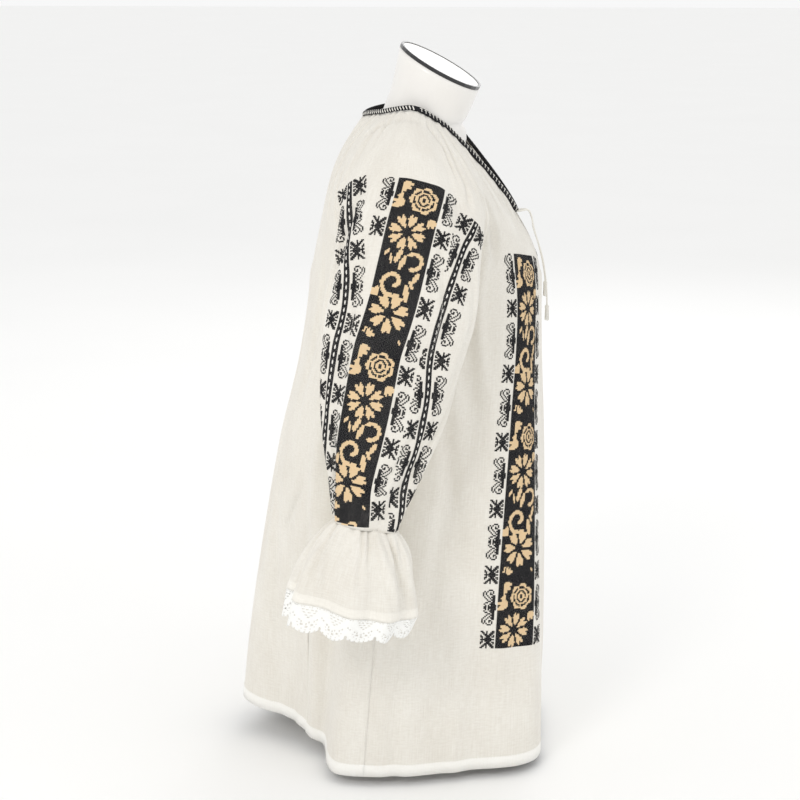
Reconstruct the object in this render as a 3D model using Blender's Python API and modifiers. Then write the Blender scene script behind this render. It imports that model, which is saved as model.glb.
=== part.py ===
"""A Romanian ie: a long white cotton blouse, worn by a limbless dress form.

Metres, +Z up. The wearer faces -Y and their right side is -X. The origin is in the middle of the form's flat
base, on the floor. Each piece that a maker would cut and sew is one object: a wall of cloth around an open
hollow, lofted through rows. A row of the yoke runs from a centre line to a raglan seam, or over the shoulder
from seam to seam. Below the armpits the rows are closed sections of the body and of each sleeve.
"""

import math
from typing import Callable, NamedTuple, Sequence

import bmesh
import bpy
from mathutils import Euler, Vector

# Driving sizes
CLOTH = 0.0012
SEAM_GAP = 0.0003
ARMPIT_HEIGHT = 0.600
FRONT_HEM_HEIGHT = 0.012
BACK_HEM_HEIGHT = 0.046
SLIT_HALF_WIDTH = 0.0066
SLIT_ROWS = 5
FLOUNCE_WAVES = 8
WAVE_AT_WRIST = 0.0012
WAVE_AT_FOOT = 0.0074
SCALLOPS = 13
SCALLOP_DEPTH = 0.006
TRIM_WIDTH = 0.0062
TRIM_THICKNESS = 0.0024
TRIM_GAP = 0.0009
TRIM_UPRIGHT = 1.6
WRIST_GAP = 0.0009
CORD_RADIUS = 0.0010
TASSEL_RADIUS = 0.0031
TASSEL_HEAD = 0.005
TASSEL_LENGTH = 0.020
TASSEL_SIDES = 8
CAP_THICKNESS = 0.0035
RIM_WIDTH = 0.003
RIM_HEIGHT = 0.0045

# Rows and columns of the lofts
YOKE_ROWS = 8
SKIRT_ROWS = 11
PANEL_COLUMNS = 15
SLEEVE_COLUMNS = 26
ARM_ROWS = 10
FLOUNCE_ROWS = 4
LACE_ROWS = 2
POINTS_PER_SCALLOP = 4
FORM_COLUMNS = 28
NECKLINE_COUNTS = (9, 7, 7)
LENGTH_STEPS = 24
RELAX_ROUNDS = 2
RELAX_SHARE = 0.4
SKIRT_BLEND_END = 0.35
ARM_BLEND_END = 0.25
UNDERARM_COLUMNS_KEPT = 3
SEAM_PROBE = 0.04
MOST_SEAM_TURN = 150.0
EDGE_PROBE = 0.05
BODY_MIDDLE_Y = 0.02


class YokeRow(NamedTuple):
    """One row of a front or back yoke: a cubic curve from the centre line to the raglan seam."""

    place: float
    centre_y: float
    centre_z: float
    leave_x: float
    leave_y: float
    leave_z: float
    seam_x: float
    seam_y: float
    seam_z: float
    reach_x: float
    reach_y: float
    reach_z: float


class ShoulderRow(NamedTuple):
    """The top of the sleeve: its middle line, and the handles of the two curves that meet there."""

    place: float
    x: float
    y: float
    z: float
    front_x: float
    front_y: float
    front_z: float
    back_x: float
    back_y: float
    back_z: float
    at_front_x: float
    at_front_y: float
    at_front_z: float
    at_back_x: float
    at_back_y: float
    at_back_z: float


class BodySection(NamedTuple):
    """A level section of the body below the armpits."""

    height: float
    front_y: float
    back_y: float
    half_width: float


class TubeSection(NamedTuple):
    """A section of a sleeve or flounce, listed from the top down."""

    drop: float
    height: float
    centre_x: float
    centre_y: float
    half_thickness: float
    half_width: float
    twist: float
    slope: float


class FormSection(NamedTuple):
    """A section of the dress form, which leans forwards at the neck."""

    height: float
    centre_y: float
    half_width: float
    half_depth: float
    power: float
    tilt: float
    roll: float


class Fold(NamedTuple):
    """A soft ridge (rise > 0) or trough. Across runs over the row, along runs down the piece, both 0 to 1."""

    side: int
    across_top: float
    across_foot: float
    half_width: float
    start: float
    full: float
    end: float
    rise: float


# The armpit, where the raglan seams meet the side seam
A_X, A_Y = -0.163, -0.003
UNDERARM_CLEARANCE = 0.0022

FRONT_YOKE = (
    YokeRow(0.00, -0.111, 0.680, -0.006, 0.011, 0.026, -0.054, -0.030, 0.785, 0.022, -0.022, -0.024),
    YokeRow(0.33, -0.127, 0.655, -0.026, 0.010, 0.013, -0.094, -0.066, 0.734, 0.028, -0.014, -0.014),
    YokeRow(0.66, -0.138, 0.628, -0.050, 0.000, 0.004, -0.134, -0.079, 0.678, 0.028, -0.030, -0.010),
    YokeRow(1.00, -0.145, 0.600, -0.080, -0.002, 0.000, A_X, A_Y, 0.600, -0.004, -0.080, 0.000),
)
BACK_YOKE = (
    YokeRow(0.00, 0.075, 0.794, -0.022, 0.001, 0.003, -0.052, 0.046, 0.802, 0.014, 0.015, -0.002),
    YokeRow(0.33, 0.108, 0.740, -0.035, 0.002, 0.010, -0.100, 0.074, 0.766, 0.030, 0.018, -0.008),
    YokeRow(0.66, 0.122, 0.676, -0.055, 0.003, 0.004, -0.144, 0.088, 0.692, 0.030, 0.024, -0.004),
    YokeRow(1.00, 0.142, 0.600, -0.085, 0.002, 0.000, A_X, A_Y, 0.600, -0.004, 0.088, 0.000),
)
SHOULDER = (
    ShoulderRow(0.00, -0.073, 0.006, 0.808, 0.000, -0.014, -0.006, 0.000, 0.014, 0.001,
                -0.010, 0.015, 0.012, -0.010, -0.014, 0.003),
    ShoulderRow(0.33, -0.137, 0.008, 0.778, -0.001, -0.038, -0.008, -0.001, 0.034, -0.004,
                -0.028, 0.014, 0.020, -0.024, -0.012, 0.008),
    ShoulderRow(0.66, -0.192, 0.006, 0.734, -0.003, -0.062, -0.012, -0.003, 0.054, -0.012,
                -0.032, -0.024, 0.014, -0.036, 0.010, 0.012),
    ShoulderRow(1.00, -0.250, 0.004, 0.604, 0.000, -0.104, 0.000, 0.000, 0.140, 0.000,
                -0.002, -0.106, 0.000, 0.000, 0.138, 0.000),
)
BODY = (
    BodySection(0.600, -0.145, 0.142, 0.161),
    BodySection(0.450, -0.150, 0.171, 0.166),
    BodySection(0.300, -0.153, 0.198, 0.172),
    BodySection(0.130, -0.154, 0.225, 0.180),
    BodySection(0.012, -0.150, 0.238, 0.184),
)
SIDE_SEAM_ANGLE = 92.0
HEM_LEVELS_AT = 0.8
SECTION_POWER = 2.15
SIDE_LEAN = 0.25

SLEEVE_TUBE = (
    TubeSection(0.00, 0.600, -0.2065, 0.0155, 0.0435, 0.093, 0, 0.00),
    TubeSection(0.18, 0.556, -0.215, 0.021, 0.0440, 0.084, 2, 0.00),
    TubeSection(0.50, 0.478, -0.230, 0.027, 0.0430, 0.072, 10, 0.05),
    TubeSection(0.75, 0.416, -0.245, 0.0375, 0.0360, 0.054, 22, 0.10),
    TubeSection(0.90, 0.380, -0.255, 0.0445, 0.0290, 0.044, 32, 0.15),
    TubeSection(1.00, 0.356, -0.262, 0.047, 0.0240, 0.038, 37, 0.17),
)
FLOUNCE_TUBE = (
    TubeSection(0.00, 0.356, -0.262, 0.047, 0.0240, 0.038, 37, 0.17),
    TubeSection(0.15, 0.343, -0.263, 0.048, 0.0290, 0.045, 37, 0.18),
    TubeSection(0.60, 0.302, -0.266, 0.057, 0.0450, 0.062, 37, 0.20),
    TubeSection(1.00, 0.264, -0.268, 0.062, 0.0520, 0.070, 37, 0.20),
)
LACE_TUBE = (
    TubeSection(0.00, 0.264, -0.268, 0.062, 0.0520, 0.070, 37, 0.20),
    TubeSection(1.00, 0.237, -0.270, 0.069, 0.0560, 0.069, 37, 0.12),
)
FORM = (
    FormSection(0.000, 0.000, 0.128, 0.100, 2.2, 0, 0),
    FormSection(0.012, 0.000, 0.132, 0.104, 2.2, 0, 0),
    FormSection(0.110, 0.006, 0.150, 0.116, 2.2, 0, 0),
    FormSection(0.220, 0.010, 0.152, 0.116, 2.2, 0, 0),
    FormSection(0.330, 0.006, 0.128, 0.096, 2.1, 0, 0),
    FormSection(0.400, 0.000, 0.116, 0.088, 2.1, 0, 0),
    FormSection(0.480, -0.008, 0.126, 0.098, 2.1, 0, 0),
    FormSection(0.560, -0.014, 0.142, 0.116, 2.1, 0, 0),
    FormSection(0.610, -0.010, 0.146, 0.120, 2.1, 0, 0),
    FormSection(0.660, 0.002, 0.150, 0.106, 2.2, 0, 0),
    FormSection(0.705, 0.012, 0.158, 0.084, 2.0, 0, 0),
    FormSection(0.735, 0.012, 0.164, 0.066, 1.6, 0, 0),
    FormSection(0.7518, 0.011, 0.164, 0.062, 1.4, 0, 0),
    FormSection(0.7632, 0.010, 0.156, 0.060, 1.3, 0, 0),
    FormSection(0.7685, 0.008, 0.132, 0.059, 1.3, 0, 0),
    FormSection(0.773, 0.006, 0.104, 0.057, 1.35, 0, 0),
    FormSection(0.781, 0.005, 0.080, 0.055, 1.5, 0, 0),
    FormSection(0.789, 0.005, 0.066, 0.051, 1.9, 2, 0),
    FormSection(0.800, 0.000, 0.060, 0.050, 2.0, 9, 1),
    FormSection(0.820, -0.008, 0.058, 0.050, 2.0, 18, 2),
    FormSection(0.855, -0.018, 0.061, 0.0545, 2.0, 29, 4),
)

# Skirt folds of the front and back, right side (-1) and left side (1). Across is 0 at the centre line.
FRONT_FOLDS = (
    Fold(-1, 0.50, 0.34, 0.26, 0.30, 1.05, 2.0, 0.030),
    Fold(1, 0.50, 0.34, 0.26, 0.35, 1.05, 2.0, 0.018),
    Fold(-1, 0.66, 0.70, 0.18, 0.25, 0.62, 1.3, -0.007),
    Fold(1, 0.66, 0.68, 0.20, 0.22, 0.55, 1.4, -0.010),
    Fold(-1, 0.40, 0.30, 0.16, 0.02, 0.16, 0.4, -0.003),
    Fold(1, 0.44, 0.32, 0.16, 0.02, 0.18, 0.4, -0.003),
)
BACK_FOLDS = (
    Fold(-1, 0.86, 0.66, 0.25, 0.28, 1.05, 2.0, -0.068),
    Fold(-1, 0.52, 0.35, 0.33, 0.50, 1.05, 2.0, -0.066),
    Fold(1, 0.76, 0.58, 0.32, 0.30, 1.05, 2.0, -0.056),
    Fold(1, 0.30, 0.26, 0.20, 0.45, 1.05, 2.0, -0.026),
    Fold(-1, 0.40, 0.36, 0.18, 0.05, 0.22, 0.5, -0.003),
    Fold(1, 0.36, 0.34, 0.18, 0.04, 0.20, 0.5, -0.004),
)
# Sleeve folds. Across starts under the arm and runs over the front, the outside and the back.
SLEEVE_FOLDS = (
    Fold(0, 0.30, 0.36, 0.07, 0.05, 0.30, 0.62, -0.006),
    Fold(0, 0.40, 0.43, 0.06, 0.30, 0.50, 0.78, -0.005),
    Fold(0, 0.24, 0.33, 0.08, 0.55, 0.90, 1.5, -0.007),
    Fold(0, 0.64, 0.62, 0.07, 0.60, 0.92, 1.5, -0.008),
    Fold(0, 0.70, 0.74, 0.08, 0.10, 0.40, 0.8, -0.006),
    Fold(0, 0.10, 0.12, 0.08, 0.50, 0.90, 1.5, -0.006),
    Fold(0, 0.88, 0.88, 0.08, 0.55, 0.90, 1.5, -0.006),
)


def read_table(rows: Sequence, place: float):
    """The row of a table at a place between its rows, on a smooth curve. The first column rises or falls."""
    sign = 1 if rows[-1][0] > rows[0][0] else -1
    keys = [sign * row[0] for row in rows]
    place = min(max(sign * place, keys[0]), keys[-1])
    after = next(i for i in range(1, len(keys)) if place <= keys[i] or i == len(keys) - 1)
    before = after - 1
    width = keys[after] - keys[before]
    s = (place - keys[before]) / width

    def slope(index: int, column: int) -> float:
        low, high = max(index - 1, 0), min(index + 1, len(rows) - 1)
        return (rows[high][column] - rows[low][column]) / (keys[high] - keys[low])

    values = []
    for column in range(len(rows[0])):
        start, stop = rows[before][column], rows[after][column]
        leave, reach = slope(before, column) * width, slope(after, column) * width
        values.append((2 * s**3 - 3 * s**2 + 1) * start + (s**3 - 2 * s**2 + s) * leave
                      + (3 * s**2 - 2 * s**3) * stop + (s**3 - s**2) * reach)
    return type(rows[0])(*values)


def smooth_step(value: float, low: float, high: float) -> float:
    """0 below low, 1 above high, and a smooth rise between."""
    s = min(max((value - low) / (high - low), 0.0), 1.0)
    return s * s * (3 - 2 * s)


def bezier(start: Vector, leave: Vector, reach: Vector, stop: Vector, s: float) -> Vector:
    """A point of the cubic curve whose handles are start + leave and stop + reach."""
    a, b = start + leave, stop + reach
    return (1 - s)**3 * start + 3 * s * (1 - s)**2 * a + 3 * s**2 * (1 - s) * b + s**3 * stop


def fold_rise(folds: Sequence[Fold], side: int, across: float, along: float) -> float:
    """How far the folds of one side move the cloth outwards at a place on it."""
    total = 0.0
    for fold in folds:
        if fold.side not in (0, side):
            continue
        middle = fold.across_top + (fold.across_foot - fold.across_top) * min(along, 1.0)
        away = (across - middle) / fold.half_width
        if abs(away) >= 1:
            continue
        grown = smooth_step(along, fold.start, fold.full) * (1 - smooth_step(along, fold.full, fold.end))
        total += fold.rise * grown * math.cos(away * math.pi / 2)**2
    return total


def slit_half_width(place: float) -> float:
    """Half the width of the front slit, widest at the neckline."""
    return SLIT_HALF_WIDTH * max(0.0, 1 - place * YOKE_ROWS / SLIT_ROWS)


def yoke_point(table: Sequence[YokeRow], place: float, across: float) -> Vector:
    """A point of a yoke on the wearer's right: across is 0 on the centre line and 1 on the raglan seam."""
    row = read_table(table, place)
    edge_x = -slit_half_width(place) if table is FRONT_YOKE else 0
    return bezier(Vector((edge_x, row.centre_y, row.centre_z)), Vector((row.leave_x, row.leave_y, row.leave_z)),
                  Vector((row.reach_x, row.reach_y, row.reach_z)), Vector((row.seam_x, row.seam_y, row.seam_z)),
                  across)


def skirt_point(front: bool, height: float, across: float) -> Vector:
    """A point of the plain body section at a height: across is 0 on the centre line and 1 on the side seam."""
    section = read_table(BODY, height)
    centre_y = (section.front_y + section.back_y) / 2
    half_depth = (section.back_y - section.front_y) / 2
    span = SIDE_SEAM_ANGLE if front else 180 - SIDE_SEAM_ANGLE
    angle = math.radians(across * span)
    sine, cosine = math.sin(angle), math.cos(angle)
    radius = (abs(sine / section.half_width)**SECTION_POWER
              + abs(cosine / half_depth)**SECTION_POWER)**(-1 / SECTION_POWER)
    forwards = -cosine if front else cosine
    x = -radius * sine
    return Vector((x, centre_y + radius * forwards + SIDE_LEAN * x * x, height))


def body_grid(front: bool, side: int) -> list[list[Vector]]:
    """One half of the front or back, as rows from the neckline to the hem, from the centre line outwards."""
    table = FRONT_YOKE if front else BACK_YOKE
    hem = FRONT_HEM_HEIGHT if front else BACK_HEM_HEIGHT
    grid = []
    for i in range(YOKE_ROWS):
        place = i / YOKE_ROWS
        cut = raglan_cut(table, place, front)
        grid.append(trimmed_row(lambda s, p=place: yoke_point(table, p, s), PANEL_COLUMNS, 0.0, cut))
    for i in range(SKIRT_ROWS + 1):
        share = i / SKIRT_ROWS
        blend = smooth_step(share, 0.0, SKIRT_BLEND_END)

        def row(s: float, share: float = share, blend: float = blend) -> Vector:
            foot = hem + (FRONT_HEM_HEIGHT - hem) * min(s / HEM_LEVELS_AT, 1.0)
            height = ARMPIT_HEIGHT + (foot - ARMPIT_HEIGHT) * share
            top = yoke_point(table, 1.0, s)
            top.z = height
            return top.lerp(skirt_point(front, height, s), blend)

        grid.append(trimmed_row(row, PANEL_COLUMNS, 0.0, SEAM_GAP / 2))
    return folded(relaxed(grid, 1, PANEL_COLUMNS - 1), FRONT_FOLDS if front else BACK_FOLDS, side)


def raglan_cut(table: Sequence[YokeRow], place: float, front: bool) -> float:
    """How far a row stops before the raglan seam: half the gap, and more where the sleeve turns away there."""
    panel = yoke_point(table, place, 1.0) - yoke_point(table, place, 1.0 - SEAM_PROBE)
    near, far = (0.0, SEAM_PROBE / 2) if front else (1.0, 1.0 - SEAM_PROBE / 2)
    sleeve = sleeve_cap_point(place, far) - sleeve_cap_point(place, near)
    half_turn = min(panel.angle(sleeve), math.radians(MOST_SEAM_TURN)) / 2
    return SEAM_GAP / 2 / math.cos(half_turn) + CLOTH / 2 * math.tan(half_turn)


def trimmed_row(curve: Callable[[float], Vector], columns: int, start_cut: float, stop_cut: float):
    """Points along a curve, cut back from its two seams."""
    length = sum((curve((i + 1) / LENGTH_STEPS) - curve(i / LENGTH_STEPS)).length for i in range(LENGTH_STEPS))
    start, stop = start_cut / length, stop_cut / length
    return [curve(start + (1 - start - stop) * i / columns) for i in range(columns + 1)]


def relaxed(grid: list[list[Vector]], first: int, last: int) -> list[list[Vector]]:
    """The grid with its inner points drawn towards the middle of their neighbours above and below."""
    for _ in range(RELAX_ROUNDS):
        moved = [list(row) for row in grid]
        for i in range(1, len(grid) - 1):
            for j in range(first, last + 1):
                level = (grid[i - 1][j] + grid[i + 1][j]) / 2
                moved[i][j] = grid[i][j].lerp(level, RELAX_SHARE)
        grid = moved
    return grid


def normals_of(grid: list[list[Vector]], closed_from: int | None = None) -> list[list[Vector]]:
    """The unit normal of a grid at each point, from its neighbours."""
    result = []
    last = len(grid[0]) - 1
    for i, row in enumerate(grid):
        closed = closed_from is not None and i >= closed_from
        up, down = grid[max(i - 1, 0)], grid[min(i + 1, len(grid) - 1)]
        normals = []
        for j in range(last + 1):
            if closed and j in (0, last):
                before, after = row[last - 1], row[1]
            else:
                before, after = row[max(j - 1, 0)], row[min(j + 1, last)]
            normals.append((after - before).cross(down[j] - up[j]).normalized())
        result.append(normals)
    return result


def folded(grid: list[list[Vector]], folds: Sequence[Fold], side: int) -> list[list[Vector]]:
    """The grid of a body half with its folds: each point moves level, away from the middle of the body."""
    rows = len(grid) - 1
    moved = []
    for row, normals in zip(grid, normals_of(grid)):
        along = len(moved) / rows
        new_row = []
        for j, (point, normal) in enumerate(zip(row, normals)):
            outwards = Vector((normal.x, normal.y, 0)).normalized()
            middle = Vector((0, BODY_MIDDLE_Y, point.z))
            if outwards.dot(point - middle) < 0:
                outwards.negate()
            new_row.append(point + outwards * fold_rise(folds, side, j / (len(row) - 1), along))
        moved.append(new_row)
    return moved


def sleeve_cap_point(place: float, across: float) -> Vector:
    """A point of the sleeve above the armpit: across runs from the front raglan seam to the back one."""
    front, back = read_table(FRONT_YOKE, place), read_table(BACK_YOKE, place)
    row = read_table(SHOULDER, place)
    top = Vector((row.x, row.y, row.z))
    if across < 0.5:
        return bezier(Vector((front.seam_x, front.seam_y, front.seam_z)),
                      Vector((row.at_front_x, row.at_front_y, row.at_front_z)),
                      Vector((row.front_x, row.front_y, row.front_z)), top, across * 2)
    return bezier(top, Vector((row.back_x, row.back_y, row.back_z)),
                  Vector((row.at_back_x, row.at_back_y, row.at_back_z)),
                  Vector((back.seam_x, back.seam_y, back.seam_z)), across * 2 - 1)


def tube_point(table: Sequence[TubeSection], drop: float, across: float) -> Vector:
    """A point of a sleeve, flounce or lace: across starts under the arm and runs round by the front."""
    section = read_table(table, drop)
    angle = math.tau * across + math.radians(section.twist)
    x = section.half_thickness * math.cos(angle)
    y = -section.half_width * math.sin(angle)
    return Vector((section.centre_x + x, section.centre_y + y, section.height + section.slope * y))


def sleeve_grid() -> list[list[Vector]]:
    """The right sleeve, from the neckline to the wrist gathers. The rows are closed from YOKE_ROWS on."""
    grid = []
    for i in range(YOKE_ROWS):
        place = i / YOKE_ROWS
        front_cut, back_cut = raglan_cut(FRONT_YOKE, place, True), raglan_cut(BACK_YOKE, place, False)
        grid.append(trimmed_row(lambda s, p=place: sleeve_cap_point(p, s), SLEEVE_COLUMNS, front_cut, back_cut))
    for i in range(ARM_ROWS + 1):
        share = i / ARM_ROWS
        blend = smooth_step(share, 0.0, ARM_BLEND_END)
        row = []
        for j in range(SLEEVE_COLUMNS + 1):
            across = j / SLEEVE_COLUMNS
            plain = tube_point(SLEEVE_TUBE, share, across)
            top = sleeve_cap_point(1.0, across)
            top.z = plain.z
            point = top.lerp(plain, blend)
            point.x -= UNDERARM_CLEARANCE
            row.append(point)
        grid.append(row)
    grid = relaxed(grid, UNDERARM_COLUMNS_KEPT, SLEEVE_COLUMNS - UNDERARM_COLUMNS_KEPT)
    rows = len(grid) - 1
    moved = []
    for row, normals in zip(grid, normals_of(grid, YOKE_ROWS)):
        along = len(moved) / rows
        moved.append([point + normal * fold_rise(SLEEVE_FOLDS, 0, j / SLEEVE_COLUMNS, along)
                      for j, (point, normal) in enumerate(zip(row, normals))])
    return moved


def wave(across: float, drop: float) -> float:
    """How far a gather of the flounce stands out: uneven waves that open towards its foot."""
    phase = math.tau * FLOUNCE_WAVES * across + 0.9 * math.sin(math.tau * across * 3)
    height = WAVE_AT_WRIST + (WAVE_AT_FOOT - WAVE_AT_WRIST) * drop**0.8
    return height * math.sin(phase) * (0.75 + 0.25 * math.sin(math.tau * 2 * across + 1))


def ruffled(table: Sequence[TubeSection], drop: float, across: float, opened: float) -> Vector:
    """A point of the flounce or lace with its wave, which moves level and outwards from the tube's axis."""
    point = tube_point(table, drop, across)
    section = read_table(table, drop)
    outwards = Vector((point.x - section.centre_x, (point.y - section.centre_y) * 0.6, 0)).normalized()
    return point + outwards * wave(across, opened)


def flounce_grid() -> list[list[Vector]]:
    """The right flounce, from the wrist gathers to the lace."""
    length = FLOUNCE_TUBE[0].height - FLOUNCE_TUBE[-1].height
    top_drop, foot_drop = WRIST_GAP / length, 1 - SEAM_GAP / length
    columns = SCALLOPS * POINTS_PER_SCALLOP
    rows = []
    for i in range(FLOUNCE_ROWS + 1):
        drop = top_drop + (foot_drop - top_drop) * i / FLOUNCE_ROWS
        rows.append([ruffled(FLOUNCE_TUBE, drop, j / columns, drop) for j in range(columns + 1)])
    return rows


def lace_grid() -> list[list[Vector]]:
    """The lace edging below the right flounce: its foot is cut into scallops."""
    columns = SCALLOPS * POINTS_PER_SCALLOP
    rows = []
    for i in range(LACE_ROWS + 1):
        drop = i / LACE_ROWS
        row = []
        for j in range(columns + 1):
            across = j / columns
            point = ruffled(LACE_TUBE, drop, across, 1.0)
            round_foot = abs(math.sin(math.pi * SCALLOPS * across))
            point.z += drop * SCALLOP_DEPTH * (1 - round_foot)
            row.append(point)
        rows.append(row)
    return rows


def neckline() -> list[tuple[Vector, Vector]]:
    """Points of the right half of the neckline, each with the way the cloth would go on past its edge."""
    pairs = []
    surfaces = (lambda p, s: yoke_point(FRONT_YOKE, p, s), sleeve_cap_point,
                lambda p, s: yoke_point(BACK_YOKE, p, 1 - s))
    for count, surface in zip(NECKLINE_COUNTS, surfaces):
        for i in range(count):
            share = i / count
            edge, inner = surface(0.0, share), surface(EDGE_PROBE, share)
            pairs.append((edge, (edge - inner).normalized()))
    edge, inner = yoke_point(BACK_YOKE, 0.0, 0.0), yoke_point(BACK_YOKE, EDGE_PROBE, 0.0)
    pairs.append((edge, (edge - inner).normalized()))
    return pairs


def clear_scene() -> None:
    """Remove whatever the file starts with."""
    for obj in list(bpy.data.objects):
        bpy.data.objects.remove(obj, do_unlink=True)


def material(name: str, colour: tuple[float, float, float], roughness: float) -> bpy.types.Material:
    """A plain Principled BSDF."""
    made = bpy.data.materials.new(name)
    made.use_nodes = True
    shader = made.node_tree.nodes["Principled BSDF"]
    shader.inputs["Base Color"].default_value = (*colour, 1)
    shader.inputs["Roughness"].default_value = roughness
    shader.inputs["Metallic"].default_value = 0
    return made


class Workshop:
    """Holds the collection and the materials, and turns lofted rows into named objects."""

    def __init__(self) -> None:
        self.collection = bpy.data.collections.new("ie_blouse")
        bpy.context.scene.collection.children.link(self.collection)
        self.cotton = material("ivory_cotton", (0.88, 0.86, 0.81), 0.9)
        self.lace = material("white_lace", (0.92, 0.92, 0.90), 0.9)
        self.trim = material("black_braid", (0.02, 0.02, 0.02), 0.8)
        self.cord = material("white_cord", (0.90, 0.89, 0.86), 0.85)
        self.plastic = material("pale_plastic", (0.80, 0.79, 0.77), 0.3)
        self.rim = material("dark_rim", (0.02, 0.02, 0.02), 0.35)

    def add_mesh(self, name: str, mesh: bmesh.types.BMesh, paint: bpy.types.Material) -> bpy.types.Object:
        """Make an object of a bmesh, smooth, with one material."""
        data = bpy.data.meshes.new(name)
        mesh.to_mesh(data)
        mesh.free()
        data.materials.append(paint)
        data.shade_smooth()
        obj = bpy.data.objects.new(name, data)
        self.collection.objects.link(obj)
        return obj

    def add_wall(self, name: str, faces: "Wall", paint: bpy.types.Material) -> None:
        """Give an open surface the thickness of its cloth."""
        obj = self.add_mesh(name, faces.mesh, paint)
        solid = obj.modifiers.new("cloth", "SOLIDIFY")
        solid.thickness = CLOTH
        solid.offset = 0


class Wall:
    """An open surface of quads between keyed points, so that halves can share a line of points."""

    def __init__(self) -> None:
        self.mesh = bmesh.new()
        self.known: dict = {}

    def vertex(self, key: tuple, point: Vector) -> bmesh.types.BMVert:
        """The vertex of a key, made at the point the first time."""
        if key not in self.known:
            self.known[key] = self.mesh.verts.new(point)
        return self.known[key]

    def fill(self, grid: list[list[Vector]], key: Callable[[int, int], tuple], flip: bool) -> None:
        """Add the quads of a grid, whose points are shared wherever their keys agree."""
        for i in range(len(grid) - 1):
            for j in range(len(grid[0]) - 1):
                corners = ((i, j), (i + 1, j), (i + 1, j + 1), (i, j + 1))
                loop = [self.vertex(key(a, b), grid[a][b]) for a, b in corners]
                self.mesh.faces.new(loop[::-1] if flip else loop)


def mirrored(grid: list[list[Vector]]) -> list[list[Vector]]:
    """The same grid on the wearer's left."""
    return [[Vector((-p.x, p.y, p.z)) for p in row] for row in grid]


def make_body(shop: Workshop, name: str, front: bool) -> None:
    """The front or back: two halves that share the centre line. The front's is slit from the neckline down."""
    wall = Wall()
    for side in (-1, 1):
        grid = body_grid(front, side)
        slit_rows = SLIT_ROWS if front else 0
        for row in grid[slit_rows:]:
            row[0].x = 0.0
        if side == 1:
            grid = mirrored(grid)

        def key(i: int, j: int, side: int = side, slit_rows: int = slit_rows) -> tuple:
            return ("centre", i) if j == 0 and i >= slit_rows else (side, i, j)

        wall.fill(grid, key, flip=(side == 1) == front)
    shop.add_wall(name, wall, shop.cotton)


def make_tube(shop: Workshop, name: str, grid: list[list[Vector]], side: int, closed_from: int,
              paint: bpy.types.Material) -> None:
    """A sleeve, flounce or lace: rows from closed_from on meet themselves under the arm."""
    last = len(grid[0]) - 1
    wall = Wall()
    wall.fill(grid if side == -1 else mirrored(grid),
              lambda i, j: (i, 0 if j == last and i >= closed_from else j), flip=side == 1)
    shop.add_wall(name, wall, paint)


def loft(rings: list[list[Vector]]) -> bmesh.types.BMesh:
    """A closed solid through rings of equal count, with flat ends."""
    mesh = bmesh.new()
    verts = [[mesh.verts.new(point) for point in ring] for ring in rings]
    count = len(rings[0])
    for low, high in zip(verts, verts[1:]):
        for j in range(count):
            k = (j + 1) % count
            mesh.faces.new((low[j], low[k], high[k], high[j]))
    mesh.faces.new(verts[0][::-1])
    mesh.faces.new(verts[-1])
    bmesh.ops.recalc_face_normals(mesh, faces=mesh.faces)
    return mesh


def form_ring(section: FormSection, inset: float = 0.0, lift: float = 0.0) -> list[Vector]:
    """A ring of the dress form, which leans by its tilt and roll, moved up along its own axis by the lift."""
    lean = Euler((math.radians(section.tilt), math.radians(-section.roll), 0)).to_matrix()
    points = []
    for i in range(FORM_COLUMNS):
        angle = math.tau * i / FORM_COLUMNS
        sine, cosine = math.sin(angle), math.cos(angle)
        radius = (abs(cosine / (section.half_width - inset))**section.power
                  + abs(sine / (section.half_depth - inset))**section.power)**(-1 / section.power)
        level = Vector((radius * cosine, radius * sine, lift))
        points.append(Vector((0, section.centre_y, section.height)) + lean @ level)
    return points


def make_form(shop: Workshop) -> None:
    """The limbless dress form, its flat neck cap and the dark rim around the cap."""
    shop.add_mesh("dress_form", loft([form_ring(section) for section in FORM]), shop.plastic)
    top = FORM[-1]
    cap = [form_ring(top, RIM_WIDTH + SEAM_GAP, lift) for lift in (SEAM_GAP, SEAM_GAP + CAP_THICKNESS)]
    shop.add_mesh("neck_cap", loft(cap), shop.plastic)
    mesh = bmesh.new()
    profile = ((0, SEAM_GAP), (0, RIM_HEIGHT), (RIM_WIDTH, RIM_HEIGHT), (RIM_WIDTH, SEAM_GAP))
    rings = [[mesh.verts.new(point) for point in form_ring(top, inset, lift)] for inset, lift in profile]
    for low, high in zip(rings, rings[1:] + rings[:1]):
        for j in range(FORM_COLUMNS):
            k = (j + 1) % FORM_COLUMNS
            mesh.faces.new((low[j], low[k], high[k], high[j]))
    bmesh.ops.recalc_face_normals(mesh, faces=mesh.faces)
    shop.add_mesh("neck_rim", mesh, shop.rim)


def trim_frames() -> list[tuple[Vector, Vector, Vector]]:
    """Points round the neckline from one edge of the slit to the other, with the braid's two axes at each."""
    right = neckline()
    pairs = right + [(Vector((-p.x, p.y, p.z)), Vector((-w.x, w.y, w.z))) for p, w in right[-2::-1]]
    line = [point for point, _ in pairs]
    ways = [way for _, way in pairs]
    for _ in range(3):
        ways = [(ways[max(i - 1, 0)] + ways[i] * 2 + ways[min(i + 1, len(ways) - 1)]).normalized()
                for i in range(len(ways))]
    frames = []
    for i, (point, way) in enumerate(zip(line, ways)):
        along = (line[min(i + 1, len(line) - 1)] - line[max(i - 1, 0)]).normalized()
        way = way + Vector((0, 0, TRIM_UPRIGHT))
        up = (way - along * way.dot(along)).normalized()
        frames.append((point, up, along.cross(up)))
    return frames


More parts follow.
